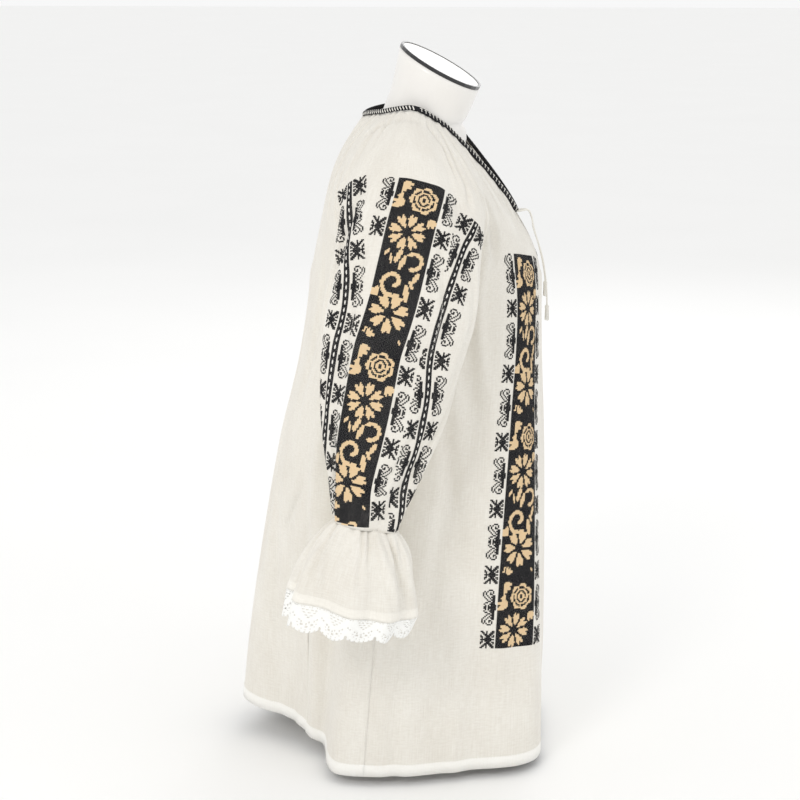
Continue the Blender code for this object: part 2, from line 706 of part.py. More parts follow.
def make_trim(shop: Workshop) -> None:
    """The braid that binds the neckline."""
    half = TRIM_THICKNESS / 2
    middle, edge = TRIM_GAP + TRIM_WIDTH / 2, TRIM_GAP + TRIM_WIDTH
    rings = []
    for point, up, out in trim_frames():
        outline = ((TRIM_GAP, -half * 0.7), (TRIM_GAP, half * 0.7), (middle, half),
                   (edge, half * 0.6), (edge, -half * 0.6), (middle, -half))
        rings.append([point + up * height + out * width for height, width in outline])
    shop.add_mesh("neck_trim", loft(rings), shop.trim)


# The drawstring's free ends, from in front of the braid's ends down the chest, points chosen by hand
TIE_ROUTES = {
    "right": ((-0.0046, -0.1275, 0.6835), (-0.0036, -0.1320, 0.6750), (-0.0020, -0.1340, 0.6620),
              (0.0005, -0.1395, 0.6450), (0.0030, -0.1455, 0.6250), (0.0055, -0.1495, 0.6020),
              (0.0080, -0.1515, 0.5820), (0.0095, -0.1522, 0.5640)),
    "left": ((0.0078, -0.1270, 0.6820), (0.0100, -0.1315, 0.6730), (0.0125, -0.1345, 0.6590),
             (0.0155, -0.1395, 0.6420), (0.0185, -0.1445, 0.6230), (0.0210, -0.1480, 0.6040),
             (0.0225, -0.1495, 0.5920)),
}
FIRST_REACH = 0.005
ROUTE_STEP = 0.0050


def smooth_route(points: Sequence[Sequence[float]]) -> list[Vector]:
    """Points about ROUTE_STEP apart on a smooth curve through a route."""
    route = [Vector(point) for point in points]
    route = [route[0] * 2 - route[1]] + route + [route[-1] * 2 - route[-2]]
    result = []
    for p0, p1, p2, p3 in zip(route, route[1:], route[2:], route[3:]):
        steps = max(1, round((p2 - p1).length / ROUTE_STEP))
        for i in range(steps):
            s = i / steps
            result.append(0.5 * (2 * p1 + (p2 - p0) * s + (2 * p0 - 5 * p1 + 4 * p2 - p3) * s**2
                                 + (3 * p1 - p0 - 3 * p2 + p3) * s**3))
    return result + [route[-2]]


def make_tie(shop: Workshop, side: str) -> None:
    """One free end of the drawstring, and the tassel below it."""
    frames = trim_frames()
    edge, up, out = frames[0] if side == "right" else frames[-1]
    out = out if out.y < 0 else -out
    start = edge + up * (TRIM_GAP + TRIM_WIDTH / 2) + out * (TRIM_THICKNESS / 2 + SEAM_GAP)
    points = smooth_route([start, start + out * FIRST_REACH, *TIE_ROUTES[side]])
    data = bpy.data.curves.new("tie_" + side, "CURVE")
    data.dimensions = "3D"
    data.bevel_depth = CORD_RADIUS
    data.bevel_resolution = 2
    data.use_fill_caps = True
    spline = data.splines.new("POLY")
    spline.points.add(len(points) - 1)
    for place, point in zip(spline.points, points):
        place.co = (*point, 1)
    data.materials.append(shop.cord)
    obj = bpy.data.objects.new("tie_" + side, data)
    shop.collection.objects.link(obj)
    make_tassel(shop, side, points[-1])


def make_tassel(shop: Workshop, side: str, cord_end: Vector) -> None:
    """A round head whose lower face carries the strands, each drawn out of one of that face's panes."""
    mesh = bmesh.new()
    head = ((SEAM_GAP, 0.45), (SEAM_GAP + 0.0015, 0.85), (TASSEL_HEAD, 0.80))
    rings = []
    for drop, share in head + ((TASSEL_HEAD, 0.45),):
        rings.append([mesh.verts.new(cord_end + Vector((TASSEL_RADIUS * share * math.cos(math.tau * k / TASSEL_SIDES),
                                                        TASSEL_RADIUS * share * math.sin(math.tau * k / TASSEL_SIDES),
                                                        -drop))) for k in range(TASSEL_SIDES)])
    mesh.faces.new(rings[0])
    for low, high in zip(rings, rings[1:]):
        for k in range(TASSEL_SIDES):
            mesh.faces.new((low[k], high[k], high[(k + 1) % TASSEL_SIDES], low[(k + 1) % TASSEL_SIDES]))
    middle = mesh.verts.new(cord_end + Vector((0, 0, -TASSEL_HEAD)))
    for k in range(TASSEL_SIDES):
        mesh.faces.new((rings[-1][k], middle, rings[-1][(k + 1) % TASSEL_SIDES]))
    bmesh.ops.recalc_face_normals(mesh, faces=mesh.faces)
    mesh.faces.ensure_lookup_table()
    panes = [face for face in mesh.faces if face.normal.z < -0.9]
    bmesh.ops.inset_individual(mesh, faces=panes, thickness=TASSEL_RADIUS * 0.06)
    strands = bmesh.ops.extrude_discrete_faces(mesh, faces=panes)["faces"]
    for number, face in enumerate(strands):
        centre = face.calc_center_median()
        away = Vector((centre.x - cord_end.x, centre.y - cord_end.y, 0))
        length = TASSEL_LENGTH - TASSEL_HEAD - 0.0006 * (number * 5 % 4)
        for vertex in face.verts:
            vertex.co = centre + (vertex.co - centre) * 0.8 + away * 0.28 + Vector((0, 0, -length))
    shop.add_mesh("tassel_" + side, mesh, shop.cord)


def main() -> None:
    """Build every piece of the blouse and the form that wears it."""
    clear_scene()
    shop = Workshop()
    make_form(shop)
    make_body(shop, "front", front=True)
    make_body(shop, "back", front=False)
    sleeve, flounce, lace = sleeve_grid(), flounce_grid(), lace_grid()
    for side, word in ((-1, "right"), (1, "left")):
        make_tube(shop, "sleeve_" + word, sleeve, side, YOKE_ROWS, shop.cotton)
        make_tube(shop, "flounce_" + word, flounce, side, 0, shop.cotton)
        make_tube(shop, "lace_" + word, lace, side, 0, shop.lace)
        make_tie(shop, word)
    make_trim(shop)


if __name__ == "__main__":
    main()
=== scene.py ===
"""Dresses a packed ie, the Romanian peasant blouse, and the dress form that wears it.

Metres, +Z up; the wearer faces -Y and their right side is -X. Each panel of cloth is a smooth surface through
the same rows that its solid is lofted through. Creases, hems and stitches are laid on those surfaces.
"""

import logging
import math
from contextlib import contextmanager
from dataclasses import dataclass, field
from enum import Enum
from typing import Callable, Iterator, NamedTuple, Sequence

import bmesh
import bpy
import numpy as np
from mathutils import Euler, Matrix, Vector

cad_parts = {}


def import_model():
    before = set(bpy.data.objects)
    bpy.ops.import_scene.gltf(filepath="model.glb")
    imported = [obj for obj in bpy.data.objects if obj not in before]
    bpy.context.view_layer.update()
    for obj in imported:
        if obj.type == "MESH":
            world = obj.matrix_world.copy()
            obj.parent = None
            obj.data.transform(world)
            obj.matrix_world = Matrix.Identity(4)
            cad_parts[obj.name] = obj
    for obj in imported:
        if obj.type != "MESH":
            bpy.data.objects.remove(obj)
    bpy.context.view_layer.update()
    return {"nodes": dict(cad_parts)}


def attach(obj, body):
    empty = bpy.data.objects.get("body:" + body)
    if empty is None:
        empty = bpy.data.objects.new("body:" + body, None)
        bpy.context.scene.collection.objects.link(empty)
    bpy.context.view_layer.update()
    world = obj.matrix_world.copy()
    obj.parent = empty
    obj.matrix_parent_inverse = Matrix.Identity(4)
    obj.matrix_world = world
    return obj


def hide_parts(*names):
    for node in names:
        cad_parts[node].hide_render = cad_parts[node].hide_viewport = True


LOG = logging.getLogger("ie_blouse")
BODY = "root"
MM = 0.001


# Sizes shared with the solids

CLOTH = 0.0012
SEAM_GAP = 0.0003
ARMPIT_HEIGHT = 0.600
FRONT_HEM_HEIGHT, BACK_HEM_HEIGHT = 0.012, 0.046
HEM_LEVELS_AT = 0.8
SLIT_HALF_WIDTH, SLIT_ROWS = 0.0066, 5
FLOUNCE_WAVES, WAVE_AT_WRIST, WAVE_AT_FOOT = 8, 0.0012, 0.0074
SCALLOPS, POINTS_PER_SCALLOP, SCALLOP_DEPTH = 13, 4, 0.006
TRIM_WIDTH, TRIM_THICKNESS, TRIM_GAP, TRIM_UPRIGHT = 0.0062, 0.0024, 0.0009, 1.6
WRIST_GAP = 0.0009
YOKE_ROWS, SKIRT_ROWS, PANEL_COLUMNS = 8, 11, 15
SLEEVE_COLUMNS, ARM_ROWS, FLOUNCE_ROWS = 26, 10, 4
SIDE_SEAM_ANGLE, SECTION_POWER, SIDE_LEAN = 92.0, 2.15, 0.25
ARMPIT_X, ARMPIT_Y, UNDERARM_CLEARANCE = -0.163, -0.003, 0.0022

# Yoke rows: place, centre y, centre z, then as x, y, z the leaving handle, the raglan seam, the reaching handle
FRONT_YOKE = np.array([
    (0.00, -0.111, 0.680, -0.006, 0.011, 0.026, -0.054, -0.030, 0.785, 0.022, -0.022, -0.024),
    (0.33, -0.127, 0.655, -0.026, 0.010, 0.013, -0.094, -0.066, 0.734, 0.028, -0.014, -0.014),
    (0.66, -0.138, 0.628, -0.050, 0.000, 0.004, -0.134, -0.079, 0.678, 0.028, -0.030, -0.010),
    (1.00, -0.145, 0.600, -0.080, -0.002, 0.000, ARMPIT_X, ARMPIT_Y, 0.600, -0.004, -0.080, 0.000)])
BACK_YOKE = np.array([
    (0.00, 0.075, 0.794, -0.022, 0.001, 0.003, -0.052, 0.046, 0.802, 0.014, 0.015, -0.002),
    (0.33, 0.108, 0.740, -0.035, 0.002, 0.010, -0.100, 0.074, 0.766, 0.030, 0.018, -0.008),
    (0.66, 0.122, 0.676, -0.055, 0.003, 0.004, -0.144, 0.088, 0.692, 0.030, 0.024, -0.004),
    (1.00, 0.142, 0.600, -0.085, 0.002, 0.000, ARMPIT_X, ARMPIT_Y, 0.600, -0.004, 0.088, 0.000)])
# Shoulder rows: place, then as x, y, z the middle line, its front and back handles, and those at the seams
SHOULDER = np.array([
    (0.00, -0.073, 0.006, 0.808, 0.000, -0.014, -0.006, 0.000, 0.014, 0.001,
     -0.010, 0.015, 0.012, -0.010, -0.014, 0.003),
    (0.33, -0.137, 0.008, 0.778, -0.001, -0.038, -0.008, -0.001, 0.034, -0.004,
     -0.028, 0.014, 0.020, -0.024, -0.012, 0.008),
    (0.66, -0.192, 0.006, 0.734, -0.003, -0.062, -0.012, -0.003, 0.054, -0.012,
     -0.032, -0.024, 0.014, -0.036, 0.010, 0.012),
    (1.00, -0.250, 0.004, 0.604, 0.000, -0.104, 0.000, 0.000, 0.140, 0.000,
     -0.002, -0.106, 0.000, 0.000, 0.138, 0.000)])
# Body sections: height, front y, back y, half width
BODY_SECTIONS = np.array([
    (0.600, -0.145, 0.142, 0.161), (0.450, -0.150, 0.171, 0.166), (0.300, -0.153, 0.198, 0.172),
    (0.130, -0.154, 0.225, 0.180), (0.012, -0.150, 0.238, 0.184)])
# Tube sections: drop, height, centre x, centre y, half thickness, half width, twist, slope
SLEEVE_TUBE = np.array([
    (0.00, 0.600, -0.2065, 0.0155, 0.0435, 0.093, 0, 0.00),
    (0.18, 0.556, -0.215, 0.021, 0.0440, 0.084, 2, 0.00),
    (0.50, 0.478, -0.230, 0.027, 0.0430, 0.072, 10, 0.05),
    (0.75, 0.416, -0.245, 0.0375, 0.0360, 0.054, 22, 0.10),
    (0.90, 0.380, -0.255, 0.0445, 0.0290, 0.044, 32, 0.15),
    (1.00, 0.356, -0.262, 0.047, 0.0240, 0.038, 37, 0.17)])
FLOUNCE_TUBE = np.array([
    (0.00, 0.356, -0.262, 0.047, 0.0240, 0.038, 37, 0.17),
    (0.15, 0.343, -0.263, 0.048, 0.0290, 0.045, 37, 0.18),
    (0.60, 0.302, -0.266, 0.057, 0.0450, 0.062, 37, 0.20),
    (1.00, 0.264, -0.268, 0.062, 0.0520, 0.070, 37, 0.20)])
LACE_TUBE = np.array([
    (0.00, 0.264, -0.268, 0.062, 0.0520, 0.070, 37, 0.20),
    (1.00, 0.237, -0.270, 0.069, 0.0560, 0.069, 37, 0.12)])
# Form sections: height, centre y, half width, half depth, power, tilt, roll
FORM_SECTIONS = np.array([
    (0.000, 0.000, 0.128, 0.100, 2.2, 0, 0), (0.012, 0.000, 0.132, 0.104, 2.2, 0, 0),
    (0.110, 0.006, 0.150, 0.116, 2.2, 0, 0), (0.220, 0.010, 0.152, 0.116, 2.2, 0, 0),
    (0.330, 0.006, 0.128, 0.096, 2.1, 0, 0), (0.400, 0.000, 0.116, 0.088, 2.1, 0, 0),
    (0.480, -0.008, 0.126, 0.098, 2.1, 0, 0), (0.560, -0.014, 0.142, 0.116, 2.1, 0, 0),
    (0.610, -0.010, 0.146, 0.120, 2.1, 0, 0), (0.660, 0.002, 0.150, 0.106, 2.2, 0, 0),
    (0.705, 0.012, 0.158, 0.084, 2.0, 0, 0), (0.735, 0.012, 0.164, 0.066, 1.6, 0, 0),
    (0.7518, 0.011, 0.164, 0.062, 1.4, 0, 0), (0.7632, 0.010, 0.156, 0.060, 1.3, 0, 0),
    (0.7685, 0.008, 0.132, 0.059, 1.3, 0, 0), (0.773, 0.006, 0.104, 0.057, 1.35, 0, 0),
    (0.781, 0.005, 0.080, 0.055, 1.5, 0, 0), (0.789, 0.005, 0.066, 0.051, 1.9, 2, 0),
    (0.800, 0.000, 0.060, 0.050, 2.0, 9, 1), (0.820, -0.008, 0.058, 0.050, 2.0, 18, 2),
    (0.855, -0.018, 0.061, 0.0545, 2.0, 29, 4)])
# Folds of the solids: side, across at the top, across at the foot, half width, start, full, end, rise
FRONT_FOLDS = ((-1, 0.50, 0.34, 0.26, 0.30, 1.05, 2.0, 0.030), (1, 0.50, 0.34, 0.26, 0.35, 1.05, 2.0, 0.018),
               (-1, 0.66, 0.70, 0.18, 0.25, 0.62, 1.3, -0.007),
               (1, 0.66, 0.68, 0.20, 0.22, 0.55, 1.4, -0.010),
               (-1, 0.40, 0.30, 0.16, 0.02, 0.16, 0.4, -0.003),
               (1, 0.44, 0.32, 0.16, 0.02, 0.18, 0.4, -0.003))
BACK_FOLDS = ((-1, 0.86, 0.66, 0.25, 0.28, 1.05, 2.0, -0.068),
              (-1, 0.52, 0.35, 0.33, 0.50, 1.05, 2.0, -0.066),
              (1, 0.76, 0.58, 0.32, 0.30, 1.05, 2.0, -0.056), (1, 0.30, 0.26, 0.20, 0.45, 1.05, 2.0, -0.026),
              (-1, 0.40, 0.36, 0.18, 0.05, 0.22, 0.5, -0.003), (1, 0.36, 0.34, 0.18, 0.04, 0.20, 0.5, -0.004))
SLEEVE_FOLDS = ((0, 0.30, 0.36, 0.07, 0.05, 0.30, 0.62, -0.006),
                (0, 0.40, 0.43, 0.06, 0.30, 0.50, 0.78, -0.005),
                (0, 0.24, 0.33, 0.08, 0.55, 0.90, 1.5, -0.007),
                (0, 0.64, 0.62, 0.07, 0.60, 0.92, 1.5, -0.008),
                (0, 0.70, 0.74, 0.08, 0.10, 0.40, 0.8, -0.006),
                (0, 0.10, 0.12, 0.08, 0.50, 0.90, 1.5, -0.006),
                (0, 0.88, 0.88, 0.08, 0.55, 0.90, 1.5, -0.006))


def read_table(table: np.ndarray, place: float) -> np.ndarray:
    """Read a table between its rows, on a smooth curve.

    Args:
        table: rows whose first column rises or falls.
        place: the value of the first column to read at.

    Returns:
        One row of values.
    """
    sign = 1 if table[-1, 0] > table[0, 0] else -1
    keys = sign * table[:, 0]
    at = min(max(sign * place, keys[0]), keys[-1])
    after = int(min(max(np.searchsorted(keys, at), 1), len(keys) - 1))
    before = after - 1
    width = keys[after] - keys[before]
    s = (at - keys[before]) / width

    def slope(index: int) -> np.ndarray:
        low, high = max(index - 1, 0), min(index + 1, len(keys) - 1)
        return (table[high] - table[low]) / (keys[high] - keys[low]) * width

    return ((2 * s**3 - 3 * s**2 + 1) * table[before] + (s**3 - 2 * s**2 + s) * slope(before)
            + (3 * s**2 - 2 * s**3) * table[after] + (s**3 - s**2) * slope(after))


def smooth_step(value: np.ndarray | float, low: float, high: float) -> np.ndarray | float:
    """Return 0 below low, 1 above high, and a smooth rise between."""
    s = np.clip((value - low) / (high - low), 0.0, 1.0)
    return s * s * (3 - 2 * s)


def mix(low: float, high: float, share: float) -> float:
    """Return a value between two values."""
    return low + (high - low) * share


def bezier(start: np.ndarray, leave: np.ndarray, reach: np.ndarray, stop: np.ndarray, s: float) -> np.ndarray:
    """Return a point of the cubic curve whose handles are start + leave and stop + reach."""
    return ((1 - s)**3 * start + 3 * s * (1 - s)**2 * (start + leave) + 3 * s**2 * (1 - s) * (stop + reach)
            + s**3 * stop)


def unit(vectors: np.ndarray) -> np.ndarray:
    """Return vectors at length one."""
    return vectors / np.maximum(np.linalg.norm(vectors, axis=-1, keepdims=True), 1e-12)


def neighbours(grid: np.ndarray, axis: int = 0) -> tuple[np.ndarray, np.ndarray]:
    """Return each place's neighbour before it and after it along an axis; an end is its own neighbour."""
    places = np.arange(grid.shape[axis])
    before, after = np.maximum(places - 1, 0), np.minimum(places + 1, places[-1])
    return np.take(grid, before, axis), np.take(grid, after, axis)


def run_length(points: np.ndarray) -> np.ndarray:
    """Return how far along a line each of its points lies."""
    return np.concatenate([[0], np.cumsum(np.linalg.norm(np.diff(points, axis=0), axis=1))])


def normal_from(at: Callable[[np.ndarray, np.ndarray], np.ndarray], rows: np.ndarray, cols: np.ndarray,
                step: float) -> np.ndarray:
    """Return a surface's unit normals, from its points a small step away on every side."""
    over = at(rows, cols + step) - at(rows, cols - step)
    down = at(rows + step, cols) - at(rows - step, cols)
    return unit(np.cross(over, down))


class BlousePattern:
    """The rows of points that the solids are lofted through, for the wearer's right side."""

    @staticmethod
    def fold_rise(folds: Sequence[tuple], side: int, across: np.ndarray, along: float) -> np.ndarray:
        """Return how far a side's folds move the cloth outwards."""
        total = np.zeros_like(across)
        for fold_side, top, foot, half_width, start, full, end, rise in folds:
            if fold_side not in (0, side):
                continue
            away = (across - (top + (foot - top) * min(along, 1.0))) / half_width
            grown = smooth_step(along, start, full) * (1 - smooth_step(along, full, end))
            total += np.where(np.abs(away) < 1, rise * grown * np.cos(away * math.pi / 2)**2, 0.0)
        return total

    @staticmethod
    def yoke_point(table: np.ndarray, place: float, across: float) -> np.ndarray:
        """Return a yoke point: across is 0 on the centre line and 1 on the raglan seam."""
        row = read_table(table, place)
        slit = SLIT_HALF_WIDTH * max(0.0, 1 - place * YOKE_ROWS / SLIT_ROWS) if table is FRONT_YOKE else 0.0
        return bezier(np.array((-slit, row[1], row[2])), row[3:6], row[9:12], row[6:9], across)

    @staticmethod
    def skirt_point(front: bool, height: float, across: float) -> np.ndarray:
        """Return a point of the plain body section at a height."""
        _, front_y, back_y, half_width = read_table(BODY_SECTIONS, height)
        angle = math.radians(across * (SIDE_SEAM_ANGLE if front else 180 - SIDE_SEAM_ANGLE))
        sine, cosine = math.sin(angle), math.cos(angle)
        radius = (abs(sine / half_width)**SECTION_POWER
                  + abs(cosine / ((back_y - front_y) / 2))**SECTION_POWER)**(-1 / SECTION_POWER)
        x = -radius * sine
        y = (front_y + back_y) / 2 + radius * (-cosine if front else cosine) + SIDE_LEAN * x * x
        return np.array((x, y, height))

    @classmethod
    def sleeve_cap_point(cls, place: float, across: float) -> np.ndarray:
        """Return a point of the sleeve above the armpit, from the front raglan seam to the back one."""
        front, back, row = read_table(FRONT_YOKE, place), read_table(BACK_YOKE, place), read_table(SHOULDER,
                                                                                                   place)
        if across < 0.5:
            return bezier(front[6:9], row[10:13], row[4:7], row[1:4], across * 2)
        return bezier(row[1:4], row[7:10], row[13:16], back[6:9], across * 2 - 1)

    @classmethod
    def raglan_cut(cls, table: np.ndarray, place: float, front: bool) -> float:
        """Return how far a row stops before the raglan seam."""
        panel = cls.yoke_point(table, place, 1.0) - cls.yoke_point(table, place, 0.96)
        near, far = (0.0, 0.02) if front else (1.0, 0.98)
        sleeve = cls.sleeve_cap_point(place, far) - cls.sleeve_cap_point(place, near)
        turn = math.acos(float(np.clip(unit(panel) @ unit(sleeve), -1, 1)))
        half_turn = min(turn, math.radians(150)) / 2
        return SEAM_GAP / 2 / math.cos(half_turn) + CLOTH / 2 * math.tan(half_turn)

    @staticmethod
    def trimmed_row(curve: Callable[[float], np.ndarray], columns: int, start_cut: float,
                    stop_cut: float) -> np.ndarray:
        """Return points along a curve, cut back from its two seams."""
        marks = np.array([curve(i / 24) for i in range(25)])
        length = float(np.linalg.norm(np.diff(marks, axis=0), axis=1).sum())
        start, stop = start_cut / length, stop_cut / length
        return np.array([curve(start + (1 - start - stop) * i / columns) for i in range(columns + 1)])

    @staticmethod
    def relaxed(grid: np.ndarray, first: int, last: int) -> np.ndarray:
        """Return the grid with its inner points drawn towards their neighbours above and below."""
        for _ in range(2):
            level = (grid[:-2] + grid[2:]) / 2
            moved = grid.copy()
            moved[1:-1, first:last + 1] += 0.4 * (level - grid[1:-1])[:, first:last + 1]
            grid = moved
        return grid

    @staticmethod
    def normals_of(grid: np.ndarray, closed_from: int | None = None) -> np.ndarray:
        """Return a grid's unit normals."""
        above, below = neighbours(grid)
        before, after = neighbours(grid, 1)
        down, along = below - above, after - before
        if closed_from is not None:
            along[closed_from:, 0] = along[closed_from:, -1] = grid[closed_from:, 1] - grid[closed_from:, -2]
        return unit(np.cross(along, down))

    @classmethod
    def body(cls, front: bool, side: int) -> np.ndarray:
        """Return half of the front or back, from the neckline to the hem and from the centre line outwards."""
        table = FRONT_YOKE if front else BACK_YOKE
        hem = FRONT_HEM_HEIGHT if front else BACK_HEM_HEIGHT
        grid = []
        for i in range(YOKE_ROWS):
            place = i / YOKE_ROWS
            grid.append(cls.trimmed_row(lambda s, p=place: cls.yoke_point(table, p, s), PANEL_COLUMNS, 0.0,
                                        cls.raglan_cut(table, place, front)))
        for i in range(SKIRT_ROWS + 1):
            share = i / SKIRT_ROWS
            blend = smooth_step(share, 0.0, 0.35)

            def row(s: float, share: float = share, blend: float = blend) -> np.ndarray:
                foot = hem + (FRONT_HEM_HEIGHT - hem) * min(s / HEM_LEVELS_AT, 1.0)
                height = ARMPIT_HEIGHT + (foot - ARMPIT_HEIGHT) * share
                top = cls.yoke_point(table, 1.0, s)
                top[2] = height
                return top + (cls.skirt_point(front, height, s) - top) * blend

            grid.append(cls.trimmed_row(row, PANEL_COLUMNS, 0.0, SEAM_GAP / 2))
        plain = cls.relaxed(np.array(grid), 1, PANEL_COLUMNS - 1)
        outwards = cls.normals_of(plain) * (1, 1, 0)
        away = plain - np.array((0, 0.02, 0))
        flip = (outwards * away)[..., :2].sum(-1, keepdims=True) < 0
        outwards = unit(np.where(flip, -outwards, outwards))
        across = np.arange(PANEL_COLUMNS + 1) / PANEL_COLUMNS
        folds = FRONT_FOLDS if front else BACK_FOLDS
        rise = np.array([cls.fold_rise(folds, side, across, i / (len(plain) - 1)) for i in range(len(plain))])
        grid = plain + outwards * rise[..., None]
        if front:
            grid[SLIT_ROWS:, 0, 0] = 0.0
        else:
            grid[:, 0, 0] = 0.0
        return grid

    @staticmethod
    def tube_point(table: np.ndarray, drop: float, across: float) -> np.ndarray:
        """Return a point of a sleeve, ruffle or lace: across runs from under the arm round by the front."""
        _, height, centre_x, centre_y, half_thickness, half_width, twist, slope = read_table(table, drop)
        angle = math.tau * across + math.radians(twist)
        y = -half_width * math.sin(angle)
        return np.array((centre_x + half_thickness * math.cos(angle), centre_y + y, height + slope * y))

    @classmethod
    def sleeve(cls) -> np.ndarray:
        """Return the right sleeve, from the neckline to the wrist; its rows are closed from YOKE_ROWS on."""
        grid = []
        for i in range(YOKE_ROWS):
            place = i / YOKE_ROWS
            cuts = cls.raglan_cut(FRONT_YOKE, place, True), cls.raglan_cut(BACK_YOKE, place, False)
            grid.append(cls.trimmed_row(lambda s, p=place: cls.sleeve_cap_point(p, s), SLEEVE_COLUMNS, *cuts))
        for i in range(ARM_ROWS + 1):
            share = i / ARM_ROWS
            blend = smooth_step(share, 0.0, 0.25)
            row = []
            for j in range(SLEEVE_COLUMNS + 1):
                plain = cls.tube_point(SLEEVE_TUBE, share, j / SLEEVE_COLUMNS)
                top = cls.sleeve_cap_point(1.0, j / SLEEVE_COLUMNS)
                top[2] = plain[2]
                row.append(top + (plain - top) * blend - (UNDERARM_CLEARANCE, 0, 0))
            grid.append(np.array(row))
        plain = cls.relaxed(np.array(grid), 3, SLEEVE_COLUMNS - 3)
        across = np.arange(SLEEVE_COLUMNS + 1) / SLEEVE_COLUMNS
        rise = np.array([cls.fold_rise(SLEEVE_FOLDS, 0, across, i / (len(plain) - 1))
                         for i in range(len(plain))])
        return plain + cls.normals_of(plain, YOKE_ROWS) * rise[..., None]

    @classmethod
    def ruffled(cls, table: np.ndarray, drop: float, across: float, opened: float) -> np.ndarray:
        """Return a point of the ruffle or lace with its gather, which opens towards the foot."""
        point = cls.tube_point(table, drop, across)
        section = read_table(table, drop)
        outwards = unit(np.array((point[0] - section[2], (point[1] - section[3]) * 0.6, 0)))
        phase = math.tau * FLOUNCE_WAVES * across + 0.9 * math.sin(math.tau * across * 3)
        height = WAVE_AT_WRIST + (WAVE_AT_FOOT - WAVE_AT_WRIST) * opened**0.8
        return point + outwards * height * math.sin(phase) * (0.75 + 0.25
                                                              * math.sin(math.tau * 2 * across + 1))

    @classmethod
    def flounce(cls) -> np.ndarray:
        """Return the right wrist ruffle, from the gathers to the lace."""
        length = FLOUNCE_TUBE[0, 1] - FLOUNCE_TUBE[-1, 1]
        top, foot = WRIST_GAP / length, 1 - SEAM_GAP / length
        columns = SCALLOPS * POINTS_PER_SCALLOP
        drops = [top + (foot - top) * i / FLOUNCE_ROWS for i in range(FLOUNCE_ROWS + 1)]
        return np.array([[cls.ruffled(FLOUNCE_TUBE, d, j / columns, d) for j in range(columns + 1)]
                         for d in drops])

    @classmethod
    def trim_frames(cls) -> tuple[np.ndarray, np.ndarray, np.ndarray]:
        """Return points round the neckline from one edge of the slit to the other, and the braid's axes."""
        pairs = []
        surfaces = (lambda p, s: cls.yoke_point(FRONT_YOKE, p, s), cls.sleeve_cap_point,
                    lambda p, s: cls.yoke_point(BACK_YOKE, p, 1 - s))
        for count, surface in zip((9, 7, 7), surfaces):
            for i in range(count):
                edge, inner = surface(0.0, i / count), surface(0.05, i / count)
                pairs.append((edge, unit(edge - inner)))
        edge = cls.yoke_point(BACK_YOKE, 0.0, 0.0)
        pairs.append((edge, unit(edge - cls.yoke_point(BACK_YOKE, 0.05, 0.0))))
        other = [(p * (-1, 1, 1), w * (-1, 1, 1)) for p, w in pairs[-2::-1]]
        line = np.array([p for p, _ in pairs + other])
        ways = np.array([w for _, w in pairs + other])
        for _ in range(3):
            before, after = neighbours(ways)
            ways = unit(before + ways * 2 + after)
        before, after = neighbours(line)
        along = unit(after - before)
        ways = ways + (0, 0, TRIM_UPRIGHT)
        ups = unit(ways - along * (ways * along).sum(-1, keepdims=True))
        return line, ups, np.cross(along, ups)


def spline_weights(s: np.ndarray) -> np.ndarray:
    """Return the weights of four neighbouring points on a smooth curve, at shares s between the middle two."""
    return np.stack([-0.5 * s + s**2 - 0.5 * s**3, 1 - 2.5 * s**2 + 1.5 * s**3,
                     0.5 * s + 2 * s**2 - 1.5 * s**3, -0.5 * s**2 + 0.5 * s**3], axis=-1)


class Surface:
    """A smooth surface through a grid of points, read at any row and column."""

    def __init__(self, grid: np.ndarray, closed_from: int | None = None, mirror_from: int | None = None,
                 reach: float = 0.0) -> None:
        """Add a ring of ghost points around the grid.

        Args:
            grid: points as rows, columns and x, y, z.
            closed_from: the first row whose two ends are one point, as in a tube.
            mirror_from: the first row that goes on past its first column as its own mirror image.
            reach: how far past its last column it may be read, which closes a seam.
        """
        self.rows, self.cols, self.reach = grid.shape[0] - 1, grid.shape[1] - 1, reach
        before, after = 2 * grid[:, 0] - grid[:, 1], 2 * grid[:, -1] - grid[:, -2]
        if closed_from is not None:
            before[closed_from:], after[closed_from:] = grid[closed_from:, -2], grid[closed_from:, 1]
        if mirror_from is not None:
            before[mirror_from:] = grid[mirror_from:, 1] * (-1, 1, 1)
        wide = np.concatenate([before[:, None], grid, after[:, None]], axis=1)
        self.net = np.concatenate([2 * wide[:1] - wide[1:2], wide, 2 * wide[-1:] - wide[-2:-1]])

    def at(self, rows: np.ndarray, cols: np.ndarray) -> np.ndarray:
        """Return the points at fractional rows and columns of the same shape."""
        rows, cols = np.clip(rows, 0, self.rows), np.clip(cols, 0, self.cols + self.reach)
        i = np.minimum(rows.astype(int), self.rows - 1)
        j = np.minimum(cols.astype(int), self.cols - 1)
        down, over = spline_weights(rows - i), spline_weights(cols - j)
        total = np.zeros(rows.shape + (3,))
        for a in range(4):
            for b in range(4):
                total += self.net[i + a, j + b] * (down[..., a] * over[..., b])[..., None]
        return total

    def normal(self, rows: np.ndarray, cols: np.ndarray) -> np.ndarray:
        """Return the unit normals, which point outwards on the wearer's right side."""
        return normal_from(self.at, rows, cols, 0.05)


class Crease(NamedTuple):
    """A soft trough or ridge along a straight line on a panel, in shares of the panel's width and length."""

    across_start: float
    along_start: float
    across_end: float
    along_end: float
    half_width: float
    rise: float


def creases(*rows: tuple[float, ...]) -> tuple[Crease, ...]:
    """Return creases from rows of their numbers."""
    return tuple(Crease(*row) for row in rows)


